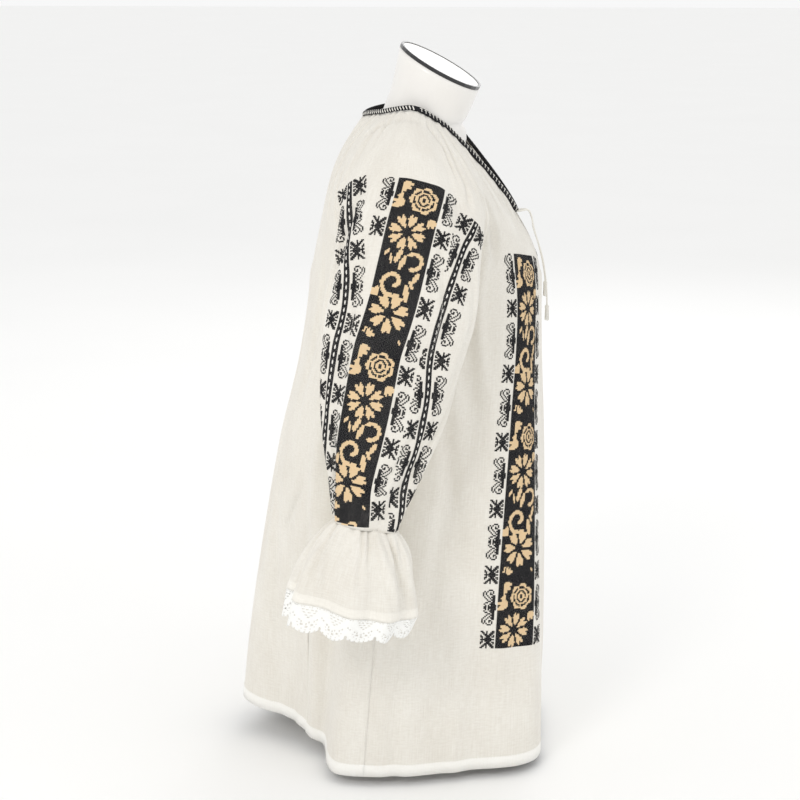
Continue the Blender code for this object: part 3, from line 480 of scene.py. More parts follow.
@dataclass
class Panel:
    """One panel, or half panel, of cloth on the wearer's right: a surface with creases and a turned hem."""

    name: str
    surface: Surface
    width: float
    length: float
    creases: tuple[Crease, ...] = ()
    turned: float = 1.0
    hem: float = 0.0
    hem_rise: float = 0.0005
    seam_calm: float = 0.0
    extra: Callable[[np.ndarray, np.ndarray], np.ndarray] | None = None

    def hem_row(self, height: float) -> float:
        """Return the row that lies at a height above the panel's foot."""
        cols = np.linspace(0, self.surface.cols, 9)
        foot, above = (self.surface.at(np.full(9, self.surface.rows - back), cols) for back in (0.0, 1.0))
        return self.surface.rows - height / float(np.linalg.norm(foot - above, axis=1).mean())

    def lift(self, rows: np.ndarray, cols: np.ndarray) -> np.ndarray:
        """Return how far the creases and the hem stand out at places on the panel."""
        across, along = cols / self.surface.cols, rows / self.surface.rows
        total = np.zeros_like(across)
        for crease in self.creases:
            run = np.array(((crease.across_end - crease.across_start) * self.width,
                            (crease.along_end - crease.along_start) * self.length))
            span = float(np.hypot(*run))
            run = run / span
            x, y = (across - crease.across_start) * self.width, (along - crease.along_start) * self.length
            share = (x * run[0] + y * run[1]) / span
            away = np.abs(x * run[1] - y * run[0]) / crease.half_width
            ends = np.clip(np.sin(np.clip(share, 0, 1) * math.pi), 0, 1)**0.7
            total += np.where(away < 1, crease.rise * ends * np.cos(away * math.pi / 2)**2, 0.0)
        if self.extra is not None:
            total += self.extra(across, along)
        if self.seam_calm:
            total *= smooth_step(1 - across, 0.0, self.seam_calm)
        if self.hem:
            total += self.hem_rise * smooth_step(rows, self.hem_row(self.hem + MM),
                                                 self.hem_row(self.hem - MM))
        return total

    def at(self, rows: np.ndarray, cols: np.ndarray, out: float = 0.0) -> np.ndarray:
        """Return points on the finished cloth, moved out by a height."""
        normal = self.surface.normal(rows, cols) * self.turned
        return self.surface.at(rows, cols) + normal * (self.lift(rows, cols) + out)[..., None]

    def normal(self, rows: np.ndarray, cols: np.ndarray) -> np.ndarray:
        """Return the unit normals of the finished cloth."""
        return normal_from(self.at, rows, cols, 0.04) * self.turned


def to_scene(name: str, data: bpy.types.ID) -> bpy.types.Object:
    """Make an object of a mesh, a curve, a camera or a light, and put it in the scene."""
    obj = bpy.data.objects.new(name, data)
    bpy.context.scene.collection.objects.link(obj)
    return obj


def new_mesh(name: str, points: np.ndarray, faces: np.ndarray, side: int = -1, smooth: bool = True,
             uv: np.ndarray | None = None) -> bpy.types.Object:
    """Make an object of points and equal-sided faces.

    Args:
        name: the object's name.
        points: the vertices, on the wearer's right.
        faces: rows of vertex numbers.
        side: 1 mirrors it to the wearer's left.
        smooth: whether its faces are shaded smooth.
        uv: a map of the vertices, in metres of cloth.

    Returns:
        The object, which rides on the body.
    """
    points = np.asarray(points, float).reshape(-1, 3)
    faces = np.asarray(faces, int)
    if side == 1:
        points, faces = points * (-1, 1, 1), faces[:, ::-1]
    mesh = bpy.data.meshes.new(name)
    count, sides = faces.shape
    mesh.vertices.add(len(points))
    mesh.vertices.foreach_set("co", points.astype(np.float32).ravel())
    mesh.loops.add(count * sides)
    mesh.loops.foreach_set("vertex_index", faces.astype(np.int32).ravel())
    mesh.polygons.add(count)
    mesh.polygons.foreach_set("loop_start", np.arange(0, count * sides, sides, dtype=np.int32))
    mesh.polygons.foreach_set("loop_total", np.full(count, sides, dtype=np.int32))
    mesh.polygons.foreach_set("use_smooth", np.full(count, smooth))
    if uv is not None:
        layer = mesh.uv_layers.new(name="weave")
        layer.data.foreach_set("uv", np.asarray(uv, np.float32)[faces.ravel()].ravel())
    mesh.update()
    mesh.validate()
    obj = to_scene(name, mesh)
    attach(obj, BODY)
    return obj


def grid_faces(rows: int, cols: int, start: int = 0) -> np.ndarray:
    """Return the quads of a grid of rows by cols points, numbered from start."""
    i, j = np.meshgrid(np.arange(rows - 1), np.arange(cols - 1), indexing="ij")
    corner = (start + i * cols + j).ravel()
    return np.stack([corner, corner + cols, corner + cols + 1, corner + 1], axis=1)


def ring_faces(rings: int, around: int) -> np.ndarray:
    """Return the quads of a tube of closed rings, each of the same number of points."""
    quads = grid_faces(rings, around + 1)
    return (quads // (around + 1)) * around + (quads % (around + 1)) % around


@contextmanager
def edited(obj: bpy.types.Object) -> Iterator[bmesh.types.BMesh]:
    """Open an object's mesh for edits, and put it back once they are made."""
    mesh = bmesh.new()
    mesh.from_mesh(obj.data)
    mesh.verts.ensure_lookup_table()
    yield mesh
    mesh.to_mesh(obj.data)
    mesh.free()


def weld(obj: bpy.types.Object, distance: float = 2e-5) -> None:
    """Join the points that lie together, such as those of a tube's seam."""
    with edited(obj) as mesh:
        bmesh.ops.remove_doubles(mesh, verts=mesh.verts, dist=distance)


def thicken(obj: bpy.types.Object, thickness: float, offset: float = 0.0) -> None:
    """Give a sheet its thickness, as real faces."""
    solid = obj.modifiers.new("thickness", "SOLIDIFY")
    solid.thickness, solid.offset = thickness, offset
    graph = bpy.context.evaluated_depsgraph_get()
    made = bpy.data.meshes.new_from_object(obj.evaluated_get(graph))
    obj.modifiers.clear()
    obj.data = made


def cloth_area(sheet: bpy.types.Object) -> float:
    """Return the area of one face of a sheet that has its thickness."""
    return sum(face.area for face in sheet.data.polygons) / 2


# Colours and finishes


def linear(colour: str) -> tuple[float, float, float, float]:
    """Return an sRGB hex colour as a linear colour."""
    parts = [int(colour.lstrip("#")[i:i + 2], 16) / 255 for i in (0, 2, 4)]
    return (*[c / 12.92 if c <= 0.04045 else ((c + 0.055) / 1.055)**2.4 for c in parts], 1.0)


def add_node(tree: bpy.types.NodeTree, kind: str, links: dict | None = None,
             **settings: object) -> bpy.types.Node:
    """Add a node with its settings and its links.

    Args:
        tree: the node tree.
        kind: the node's type name.
        links: input name or number to an output socket or a plain value.
        settings: the node's own properties.

    Returns:
        The node.
    """
    node = tree.nodes.new(kind)
    for name, value in settings.items():
        setattr(node, name, value)
    for key, value in (links or {}).items():
        if isinstance(value, bpy.types.NodeSocket):
            tree.links.new(value, node.inputs[key])
        else:
            node.inputs[key].default_value = value
    return node


def blank_material(name: str, roughness: float, **sockets: object) -> tuple[bpy.types.Material,
                                                                            bpy.types.Node]:
    """Return a new material and its Principled shader, with plain values on the shader's own sockets."""
    made = bpy.data.materials.new(name)
    made.use_nodes = True
    shader = made.node_tree.nodes["Principled BSDF"]
    shader.inputs["Roughness"].default_value = roughness
    for key, value in sockets.items():
        shader.inputs[key.replace("_", " ")].default_value = value
    return made, shader


@dataclass(frozen=True)
class CrepeCotton:
    """Unbleached cotton crepe, plain woven with slubby warp threads: a soft, faintly streaked white."""

    name: str
    light: str = "#ECE9E1"
    shade: str = "#DFDAD0"
    thread: float = 1.5 * MM   # real threads are 0.3 mm apart, too fine to show, so they're drawn this coarse
    warp: tuple[float, float] = (1.0, 0.07)
    weft: tuple[float, float] = (0.16, 1.0)
    bump: float = 0.00016

    def make(self) -> bpy.types.Material:
        """Return the material."""
        made, shader = blank_material(self.name, 0.88, Sheen_Weight=0.25, Sheen_Roughness=0.5,
                                      Specular_IOR_Level=0.25)
        tree = made.node_tree
        place = add_node(tree, "ShaderNodeUVMap", uv_map="weave")
        threads = []
        for across, along in (self.warp, self.weft):
            stretched = add_node(tree, "ShaderNodeMapping", {
                "Vector": place.outputs["UV"], "Scale": (across / self.thread, along / self.thread, 1)})
            threads.append(add_node(tree, "ShaderNodeTexNoise", {
                "Vector": stretched.outputs["Vector"], "Scale": 1.0, "Detail": 2.0, "Roughness": 0.6}))
        cloud = add_node(tree, "ShaderNodeTexNoise",
                         {"Vector": place.outputs["UV"], "Scale": 14.0, "Detail": 3.0})
        both = add_node(tree, "ShaderNodeMath", {0: threads[0].outputs["Fac"], 1: threads[1].outputs["Fac"]},
                        operation="ADD")
        all_three = add_node(tree, "ShaderNodeMath", {0: both.outputs[0], 1: cloud.outputs["Fac"]},
                             operation="ADD")
        ramp = add_node(tree, "ShaderNodeMapRange", {"Value": all_three.outputs[0], "From Min": 1.1,
                                                     "From Max": 1.9})
        colour = add_node(tree, "ShaderNodeMix", {"Factor": ramp.outputs["Result"], 6: linear(self.shade),
                                                  7: linear(self.light)}, data_type="RGBA")
        tree.links.new(colour.outputs[2], shader.inputs["Base Color"])
        bump = add_node(tree, "ShaderNodeBump", {"Height": both.outputs[0], "Strength": 0.6,
                                                 "Distance": self.bump * 4})
        tree.links.new(bump.outputs["Normal"], shader.inputs["Normal"])
        return made


@dataclass(frozen=True)
class Thread:
    """Twisted cotton thread, worked as stitches, braid or cord: matt, and faintly uneven in colour."""

    name: str
    light: str
    shade: str
    roughness: float = 0.75
    sheen: float = 0.2
    grain: float = 900.0
    bump: float = 0.0002

    def make(self) -> bpy.types.Material:
        """Return the material."""
        made, shader = blank_material(self.name, self.roughness, Sheen_Weight=self.sheen, Sheen_Roughness=0.4,
                                      Specular_IOR_Level=0.3)
        tree = made.node_tree
        place = add_node(tree, "ShaderNodeTexCoord")
        noise = add_node(tree, "ShaderNodeTexNoise", {"Vector": place.outputs["Object"], "Scale": self.grain,
                                                      "Detail": 1.0})
        colour = add_node(tree, "ShaderNodeMix", {"Factor": noise.outputs["Fac"], 6: linear(self.shade),
                                                  7: linear(self.light)}, data_type="RGBA")
        tree.links.new(colour.outputs[2], shader.inputs["Base Color"])
        bump = add_node(tree, "ShaderNodeBump", {"Height": noise.outputs["Fac"], "Strength": 0.5,
                                                 "Distance": self.bump})
        tree.links.new(bump.outputs["Normal"], shader.inputs["Normal"])
        return made


@dataclass(frozen=True)
class MouldedPlastic:
    """Rigid PVC, moulded and lacquered: a smooth satin skin with a very faint unevenness."""

    name: str
    colour: str
    shade: str
    roughness: float
    coat: float = 0.3

    def make(self) -> bpy.types.Material:
        """Return the material."""
        made, shader = blank_material(self.name, self.roughness, IOR=1.5, Coat_Weight=self.coat,
                                      Coat_Roughness=0.12)
        tree = made.node_tree
        place = add_node(tree, "ShaderNodeTexCoord")
        noise = add_node(tree, "ShaderNodeTexNoise",
                         {"Vector": place.outputs["Object"], "Scale": 30.0, "Detail": 3.0})
        colour = add_node(tree, "ShaderNodeMix", {"Factor": noise.outputs["Fac"], 6: linear(self.colour),
                                                  7: linear(self.shade)}, data_type="RGBA")
        tree.links.new(colour.outputs[2], shader.inputs["Base Color"])
        bump = add_node(tree, "ShaderNodeBump", {"Height": noise.outputs["Fac"], "Strength": 0.08,
                                                 "Distance": 0.0004})
        tree.links.new(bump.outputs["Normal"], shader.inputs["Normal"])
        return made


class Side(Enum):
    """A side of the wearer."""

    RIGHT = -1
    LEFT = 1

    @property
    def word(self) -> str:
        """Return the side's name in lower case."""
        return self.name.lower()


class Workshop:
    """Holds the materials and dresses pieces with them."""

    def __init__(self) -> None:
        """Make every material once."""
        self.cotton = CrepeCotton("cotton_crepe").make()
        self.hem = CrepeCotton("cotton_crepe_doubled", light="#F9F8F4", shade="#F3F1EB").make()
        self.cuff = CrepeCotton("cotton_crepe_cuff_hem", light="#F3F0E8", shade="#EAE6DD").make()
        self.lace = Thread("cotton_lace_thread", "#FBFBF8", "#EFEFEC").make()
        self.black = Thread("black_stranded_cotton", "#1B1B1F", "#0F0F12", sheen=0.08).make()
        self.tan = Thread("tan_stranded_cotton", "#F3DAB2", "#E7C798").make()
        self.white = Thread("white_stranded_cotton", "#F6F4EE", "#E4E1D8").make()
        self.cord = Thread("white_cotton_cord", "#F2F0EA", "#DAD7CD", grain=700.0, bump=0.0005).make()
        self.plastic = MouldedPlastic("pale_lacquered_pvc", "#F1EFEB", "#EAE7E2", 0.32).make()
        # The rim's black is a painted reflection: it stands in for the dark reflection along the glossy neck's
        # edge.
        self.rim = MouldedPlastic("black_moulded_rim", "#141416", "#1C1C1F", 0.3).make()

    @staticmethod
    def dress(obj: bpy.types.Object, material: bpy.types.Material, slot: str,
              *nodes: str) -> bpy.types.Object:
        """Give a new piece its material, and hide the solids that it stands for."""
        obj.data.materials.append(material)
        if nodes:
            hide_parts(*nodes)
        LOG.info("piece %s", obj.name)
        return obj


def cloth_mesh(name: str, panels: Sequence[tuple[Panel, int]], finer: tuple[int, int],
               thickness: float) -> bpy.types.Object:
    """Make one sheet of cloth from one or two half panels.

    Args:
        name: the piece's name.
        panels: each panel with its side, -1 for the wearer's right and 1 for their left.
        finer: how many rows and columns of faces go to one row and column of the surface.
        thickness: the cloth's thickness.

    Returns:
        The object.
    """
    points, faces, maps, doubled = [], [], [], []
    for number, (panel, side) in enumerate(panels):
        surface = panel.surface
        rows, cols = surface.rows * finer[0], surface.cols * finer[1]
        places = np.linspace(0, surface.rows, rows + 1)
        if panel.hem:
            turned_up = [panel.hem_row(panel.hem + MM), panel.hem_row(panel.hem - MM)]
            places = np.sort(np.concatenate([places, turned_up]))
        i, j = np.meshgrid(places, np.linspace(0, surface.cols + surface.reach, cols + 1), indexing="ij")
        found = panel.at(i, j).reshape(-1, 3)
        quads = grid_faces(len(places), cols + 1, number * len(found))
        middles = np.repeat((places[:-1] + places[1:]) / 2, cols)
        hem_from = panel.hem_row(panel.hem) if panel.hem else surface.rows
        doubled.append((middles > hem_from).astype(np.int32))
        if side == 1:
            found, quads = found * (-1, 1, 1), quads[:, ::-1]
        if panel.turned < 0:
            quads = quads[:, ::-1]
        points.append(found)
        faces.append(quads)
        maps.append(np.stack([j.ravel() / surface.cols * panel.width * side,
                              i.ravel() / surface.rows * panel.length], axis=1))
    obj = new_mesh(name, np.concatenate(points), np.concatenate(faces), uv=np.concatenate(maps))
    obj.data.polygons.foreach_set("material_index", np.concatenate(doubled))
    weld(obj)
    thicken(obj, thickness)
    return obj


# Embroidery


STITCH = 1.72 * MM
BAND_STITCHES, BAND_REPEAT = 32, 114

# Side motifs, one stitch to a mark; the first column is the nearest to the band
HALF_STAR = (
    "##...#..##",
    "###..#.##.",
    ".###.###..",
    "#.#####..#",
    "##.###..##",
    "..#####.#.",
    "##########",
    "..#####.#.",
    "##.###..##",
    "#.#####..#",
    ".###.###..",
    "###..#.##.",
    "##...#..##")
HALF_SCROLL = (
    "...###....",
    "..#...#.#.",
    "..#.#..#.#",
    "...##..#.#",
    ".##...#..#",
    ".###.#..#.",
    ".##.#..#..",
    ".###..#...",
    ".##.##....",
    ".###..##..",
    ".####...#.",
    "####.#.#..",
    "######.##.")
MOTIF_WIDTH, MOTIF_GAP = 10, 4
SCROLL_FIRST = len(HALF_STAR) + MOTIF_GAP


class Finish(Enum):
    """What fills a place in a chart."""

    BARE = 0
    BLACK = 1
    TAN = 2


class Chart:
    """A chart of light stitches on a dark ground, drawn from ovals and strokes measured in stitches."""

    def __init__(self, width: int, height: int) -> None:
        """Start with a plain dark ground."""
        self.cells = np.zeros((height, width), bool)
        self.down, self.over = np.mgrid[0:height, 0:width] + 0.5

    def oval(self, x: float, y: float, angle: float, half_length: float, half_width: float,
             light: bool = True) -> None:
        """Fill an oval whose long axis is turned by an angle in degrees."""
        turn = math.radians(angle)
        along = (self.over - x) * math.cos(turn) + (self.down - y) * math.sin(turn)
        aside = (self.down - y) * math.cos(turn) - (self.over - x) * math.sin(turn)
        self.cells[(along / half_length)**2 + (aside / half_width)**2 <= 1] = light

    def stroke(self, x: float, y: float, start: float, stop: float, first: float, last: float,
               half_width: float,
               light: bool = True) -> None:
        """Draw a curl about a point, whose radius changes steadily from first to last."""
        for share in np.linspace(0, 1, 90):
            angle, radius = math.radians(mix(start, stop, share)), mix(first, last, share)
            self.oval(x + radius * math.cos(angle), y + radius * math.sin(angle), 0, half_width, half_width,
                      light)

    def petal(self, x: float, y: float, angle: float, away: float, half_length: float, half_width: float,
              light: bool = True) -> None:
        """Fill an oval that points away from a middle, at a distance from it."""
        way = math.radians(angle)
        self.oval(x + away * math.cos(way), y + away * math.sin(way), angle, half_length, half_width, light)

    def daisy(self, x: float, y: float, reach: float, petals: int, turn: float) -> None:
        """Draw an open flower with notched petals round a dark middle."""
        for k in range(petals):
            for lean in (-8, 8):
                self.petal(x, y, turn + 360 * k / petals + lean, 0.66 * reach, 0.38 * reach, 0.145 * reach)
        for k in range(petals):
            between = turn + 360 * (k + 0.5) / petals
            self.petal(x, y, between, 0.5 * reach, 0.34 * reach, 0.075 * reach, False)
        self.oval(x, y, 0, 0.22 * reach, 0.22 * reach, False)

    def rose(self, x: float, y: float, radius: float) -> None:
        """Draw a full flower of close petals, marked by broken dark rings."""
        for k in range(7):
            self.petal(x, y, 360 * k / 7 + 20, 0.66 * radius, 0.42 * radius, 0.40 * radius)
        self.oval(x, y, 0, 0.7 * radius, 0.7 * radius)
        for ring, gaps, turn in ((0.72, 7, 0), (0.42, 5, 30)):
            for k in range(gaps):
                start = turn + 360 * k / gaps
                self.stroke(x, y, start, start + 230 / gaps, ring * radius, ring * radius, 0.72, False)
        self.oval(x, y, 0, 0.14 * radius, 0.14 * radius, False)

    def bud(self, x: float, y: float, angle: float, size: float) -> None:
        """Draw a closed flower of three petals that open one way."""
        for lean in (-34, 0, 34):
            self.petal(x, y, angle + lean, 0.5 * size, 0.55 * size, 0.24 * size)

    def leaf(self, x: float, y: float, angle: float, size: float) -> None:
        """Draw a long leaf."""
        self.oval(x, y, angle, size / 2, size / 6)

    @classmethod
    def flowers(cls) -> np.ndarray:
        """Return one repeat of the flowered band: a rose, a daisy, leaves, a tendril and a larger daisy."""
        chart = cls(BAND_STITCHES, BAND_REPEAT)
        chart.rose(20.0, 13.5, 9.0)
        chart.bud(4.5, 3.5, 40, 6.5)
        chart.bud(7.5, 19.0, 200, 7.5)
        chart.leaf(5.0, 12.0, 70, 6.0)
        chart.bud(27.5, 25.5, 60, 6.0)
        chart.daisy(14.5, 37.5, 11.8, 8, 12)
        chart.leaf(4.5, 52.5, 120, 6.5)
        chart.leaf(8.0, 56.5, 75, 7.0)
        chart.leaf(12.5, 54.0, 110, 10.0)
        chart.leaf(16.0, 58.0, 105, 10.5)
        chart.stroke(23.0, 56.0, -130, 95, 5.0, 5.5, 1.35)
        chart.leaf(27.0, 66.5, 115, 8.5)
        chart.stroke(13.0, 72.0, 60, -300, 2.2, 9.5, 1.45)
        chart.leaf(23.0, 77.5, 75, 12.0)
        chart.leaf(25.0, 71.5, 60, 6.0)
        chart.bud(4.0, 82.5, 230, 6.0)
        chart.daisy(15.5, 92.5, 12.6, 7, 30)
        chart.leaf(3.5, 107.0, 100, 5.5)
        chart.bud(6.5, 110.5, 300, 5.0)
        chart.leaf(28.0, 108.5, 60, 4.5)
        return chart.cells

    @staticmethod
    def motifs(count: int, phase: int) -> np.ndarray:
        """Return the motifs beside a band, half stars and pairs of scrolls by turns."""
        star = np.array([[mark == "#" for mark in row] for row in HALF_STAR])
        scroll = np.array([[mark == "#" for mark in row] for row in HALF_SCROLL + HALF_SCROLL[::-1]])
        gap = np.zeros((MOTIF_GAP, MOTIF_WIDTH), bool)
        repeat = np.concatenate([star, gap, scroll, gap])
        return repeat[(np.arange(count) + phase) % len(repeat)]

    @classmethod
    def with_motifs(cls, middle: np.ndarray, phase: int) -> np.ndarray:
        """Return a chart's middle with a bare stitch and the motifs on both its sides, as Finish values."""
        motifs = cls.motifs(len(middle), phase) * Finish.BLACK.value
        bare = np.zeros((len(middle), 1), int)
        return np.concatenate([motifs[:, ::-1], bare, middle, bare, motifs], axis=1)

    @classmethod
    def band(cls, count: int, phase: int) -> np.ndarray:
        """Return the flowered band with its side motifs."""
        flowers = cls.flowers()[np.arange(count) % BAND_REPEAT]
        return cls.with_motifs(np.where(flowers, Finish.TAN.value, Finish.BLACK.value), phase)

    @classmethod
    def chain(cls, count: int) -> np.ndarray:
        """Return the narrow column: a dark chain, and motifs on both sides."""
        return cls.with_motifs(np.full((count, 4), Finish.BLACK.value), 0)


def ribbons(name: str, material: bpy.types.Material, side: int, starts: np.ndarray, ends: np.ndarray,
            normals: np.ndarray, half_width: float | np.ndarray, heights: np.ndarray) -> bpy.types.Object:
    """Make short flat threads, each raised in its middle and tucked in at both ends.

    Args:
        name: the piece's name.
        material: the thread's finish.
        side: -1 for the wearer's right and 1 for their left.
        starts: where each thread comes out of the cloth.
        ends: where each thread goes in again.
        normals: the cloth's normal at each thread.
        half_width: half the width of a thread.
        heights: how far the middle of each stands out.

    Returns:
        The object.
    """
    tuck, end_width = 0.04, 0.8
    run = ends - starts
    aside = unit(np.cross(normals, run)) * half_width
    middle = (starts + ends) / 2 + normals * heights[:, None]
    points = np.stack([starts + tuck * run - end_width * aside, starts + tuck * run + end_width * aside,
                       middle - aside, middle + aside,
                       ends - tuck * run - end_width * aside, ends - tuck * run + end_width * aside], axis=1)
    first = np.arange(len(starts))[:, None] * 6
    faces = np.concatenate([first + (0, 2, 3, 1), first + (2, 4, 5, 3)])
    piece = new_mesh(name, points, faces, side)
    piece.data.materials.append(material)
    LOG.info("piece %s of %d threads", name, len(starts))
    return piece


@dataclass
class Strip:
    """A net of square stitches along a line on a panel: rows run down the line, columns towards the front."""

    panel: Panel
    line: np.ndarray
    half: int
    clear: float = 0.62 * MM
    trim: float = 0.04
    half_thread: float = 0.29 * STITCH
    under_height: float = 0.34 * MM
    over_height: float = 0.50 * MM
    uneven: float = 0.035 * MM
    covered: tuple[np.ndarray, float] | None = None

    def partials(self, rows: np.ndarray, cols: np.ndarray) -> tuple[np.ndarray, np.ndarray]:
        """Return how the surface runs down its rows and over its columns."""
        surface, step = self.panel.surface, 0.03
        rows, cols = np.clip(rows, step, surface.rows - step), np.clip(cols, step, surface.cols - step)
        down = (surface.at(rows + step, cols) - surface.at(rows - step, cols)) / (2 * step)
        over = (surface.at(rows, cols + step) - surface.at(rows, cols - step)) / (2 * step)
        return down, over

    def walk(self, rows: np.ndarray, cols: np.ndarray, ways: np.ndarray, step: np.ndarray | float,
             count: int) -> list[tuple[np.ndarray, np.ndarray]]:
        """Walk straight over the surface from each place, and return the places after every step."""
        places = []
        for _ in range(count):
            down, over = self.partials(rows, cols)
            a, b, c = ((p * q).sum(-1) for p, q in ((down, down), (down, over), (over, over)))
            e, f = (ways * down).sum(-1), (ways * over).sum(-1)
            area = np.maximum(a * c - b * b, 1e-12)
            d_row, d_col = (c * e - b * f) / area, (a * f - b * e) / area
            ways = unit(down * d_row[..., None] + over * d_col[..., None])
            rows, cols = rows + d_row * step, cols + d_col * step
            places.append((rows, cols))
        return places

    def stations(self) -> tuple[np.ndarray, np.ndarray, np.ndarray]:
        """Return places one stitch apart down the line, and the way that points towards the front at each."""
        keys = np.linspace(self.line[0, 0], self.line[-1, 0], 500)
        rows, cols = keys, np.array([read_table(self.line, key)[1] for key in keys])
        points = self.panel.surface.at(rows, cols)
        length = run_length(points)
        marks = np.arange(0, length[-1], STITCH)
        rows, cols = np.interp(marks, length, rows), np.interp(marks, length, cols)
        points = self.panel.surface.at(rows, cols)
        along = unit(np.gradient(points, axis=0))
        down, over = self.partials(rows, cols)
        ways = unit(np.cross(along, np.cross(over, down)))
        flip = (ways * over).sum(-1, keepdims=True) > 0
        return rows, cols, np.where(flip, -ways, ways)

    def beside(self, offsets: np.ndarray, first_row: float) -> np.ndarray:
        """Return a line that runs beside this one.

        Args:
            offsets: rows of a panel row and a distance towards the front.
            first_row: where the new line starts.
        """
        rows, cols, ways = self.stations()
        away = np.interp(rows, offsets[:, 0], offsets[:, 1])
        sign = np.sign(away[0])
        steps = 40
        side_rows, side_cols = self.walk(rows, cols, ways * sign, np.abs(away) / steps, steps)[-1]
        line = np.stack([side_rows, side_cols], axis=1)[::12]
        last = float(self.panel.surface.rows)
        line = line[(line[:, 0] >= first_row) & (line[:, 0] < last - 0.4)]
        slope = (line[-1, 1] - line[-3, 1]) / (line[-1, 0] - line[-3, 0])
        foot = (last, line[-1, 1] + slope * (last - line[-1, 0]))
        return np.concatenate([line, [foot]])

    def net(self) -> tuple[np.ndarray, np.ndarray]:
        """Return the rows and columns of the net's corners."""
        rows, cols, ways = self.stations()
        back, front = (self.walk(rows, cols, ways * sign, STITCH, self.half) for sign in (-1, 1))
        places = back[::-1] + [(rows, cols)] + front
        return np.stack([p[0] for p in places], axis=1), np.stack([p[1] for p in places], axis=1)

    def sew(self, shop: "Workshop", name: str, chart: Callable[[int], np.ndarray],
            side: int) -> list[bpy.types.Object]:
        """Work a chart over the net, one piece to a colour, and return the pieces."""
        rows, cols = self.net()
        corners = self.panel.at(rows, cols, self.clear)
        normals = self.panel.normal(rows, cols)
        surface = self.panel.surface
        inside = ((rows > self.trim) & (rows < surface.rows - self.trim) & (cols > self.trim)
                  & (cols < surface.cols - self.trim))
        if self.covered is not None:
            spine, reach = self.covered
            inside &= np.array([[np.linalg.norm(spine - p, axis=1).min() > reach for p in row]
                                for row in corners])
        whole = inside[:-1, :-1] & inside[1:, :-1] & inside[:-1, 1:] & inside[1:, 1:]
        cells = np.where(whole, chart(len(rows) - 1), Finish.BARE.value)
        pieces = []
        for finish, material in ((Finish.BLACK, shop.black), (Finish.TAN, shop.tan)):
            n, m = np.nonzero(cells == finish.value)
            if not len(n):
                continue
            out = unit(normals[n, m] + normals[n + 1, m + 1])
            uneven = np.random.default_rng(len(n)).normal(0, self.uneven, (2, len(n)))
            starts = np.concatenate([corners[n, m], corners[n + 1, m]])
            ends = np.concatenate([corners[n + 1, m + 1], corners[n, m + 1]])
            heights = np.concatenate([self.under_height + uneven[0], self.over_height + uneven[1]])
            pieces.append(ribbons(f"{name}_{finish.name.lower()}", material, side, starts, ends,
                                  np.concatenate([out, out]), self.half_thread, heights))
        return pieces

    def dash(self, shop: "Workshop", name: str, side: int) -> bpy.types.Object:
        """Lay white dashes down the middle of a dark chain, each over three stitches of every five."""
        every, covered = 5, 3
        rows, cols, _ = self.stations()
        first = np.arange(1, len(rows) - every, every)
        first = first[rows[first + every - 1] < self.panel.surface.rows - self.trim]
        starts, ends = (self.panel.at(rows[at], cols[at], self.clear + 0.25 * MM)
                        for at in (first, first + covered))
        return ribbons(name, shop.white, side, starts, ends, self.panel.normal(rows[first], cols[first]),
                       0.8 * MM, np.full(len(first), 0.45 * MM))


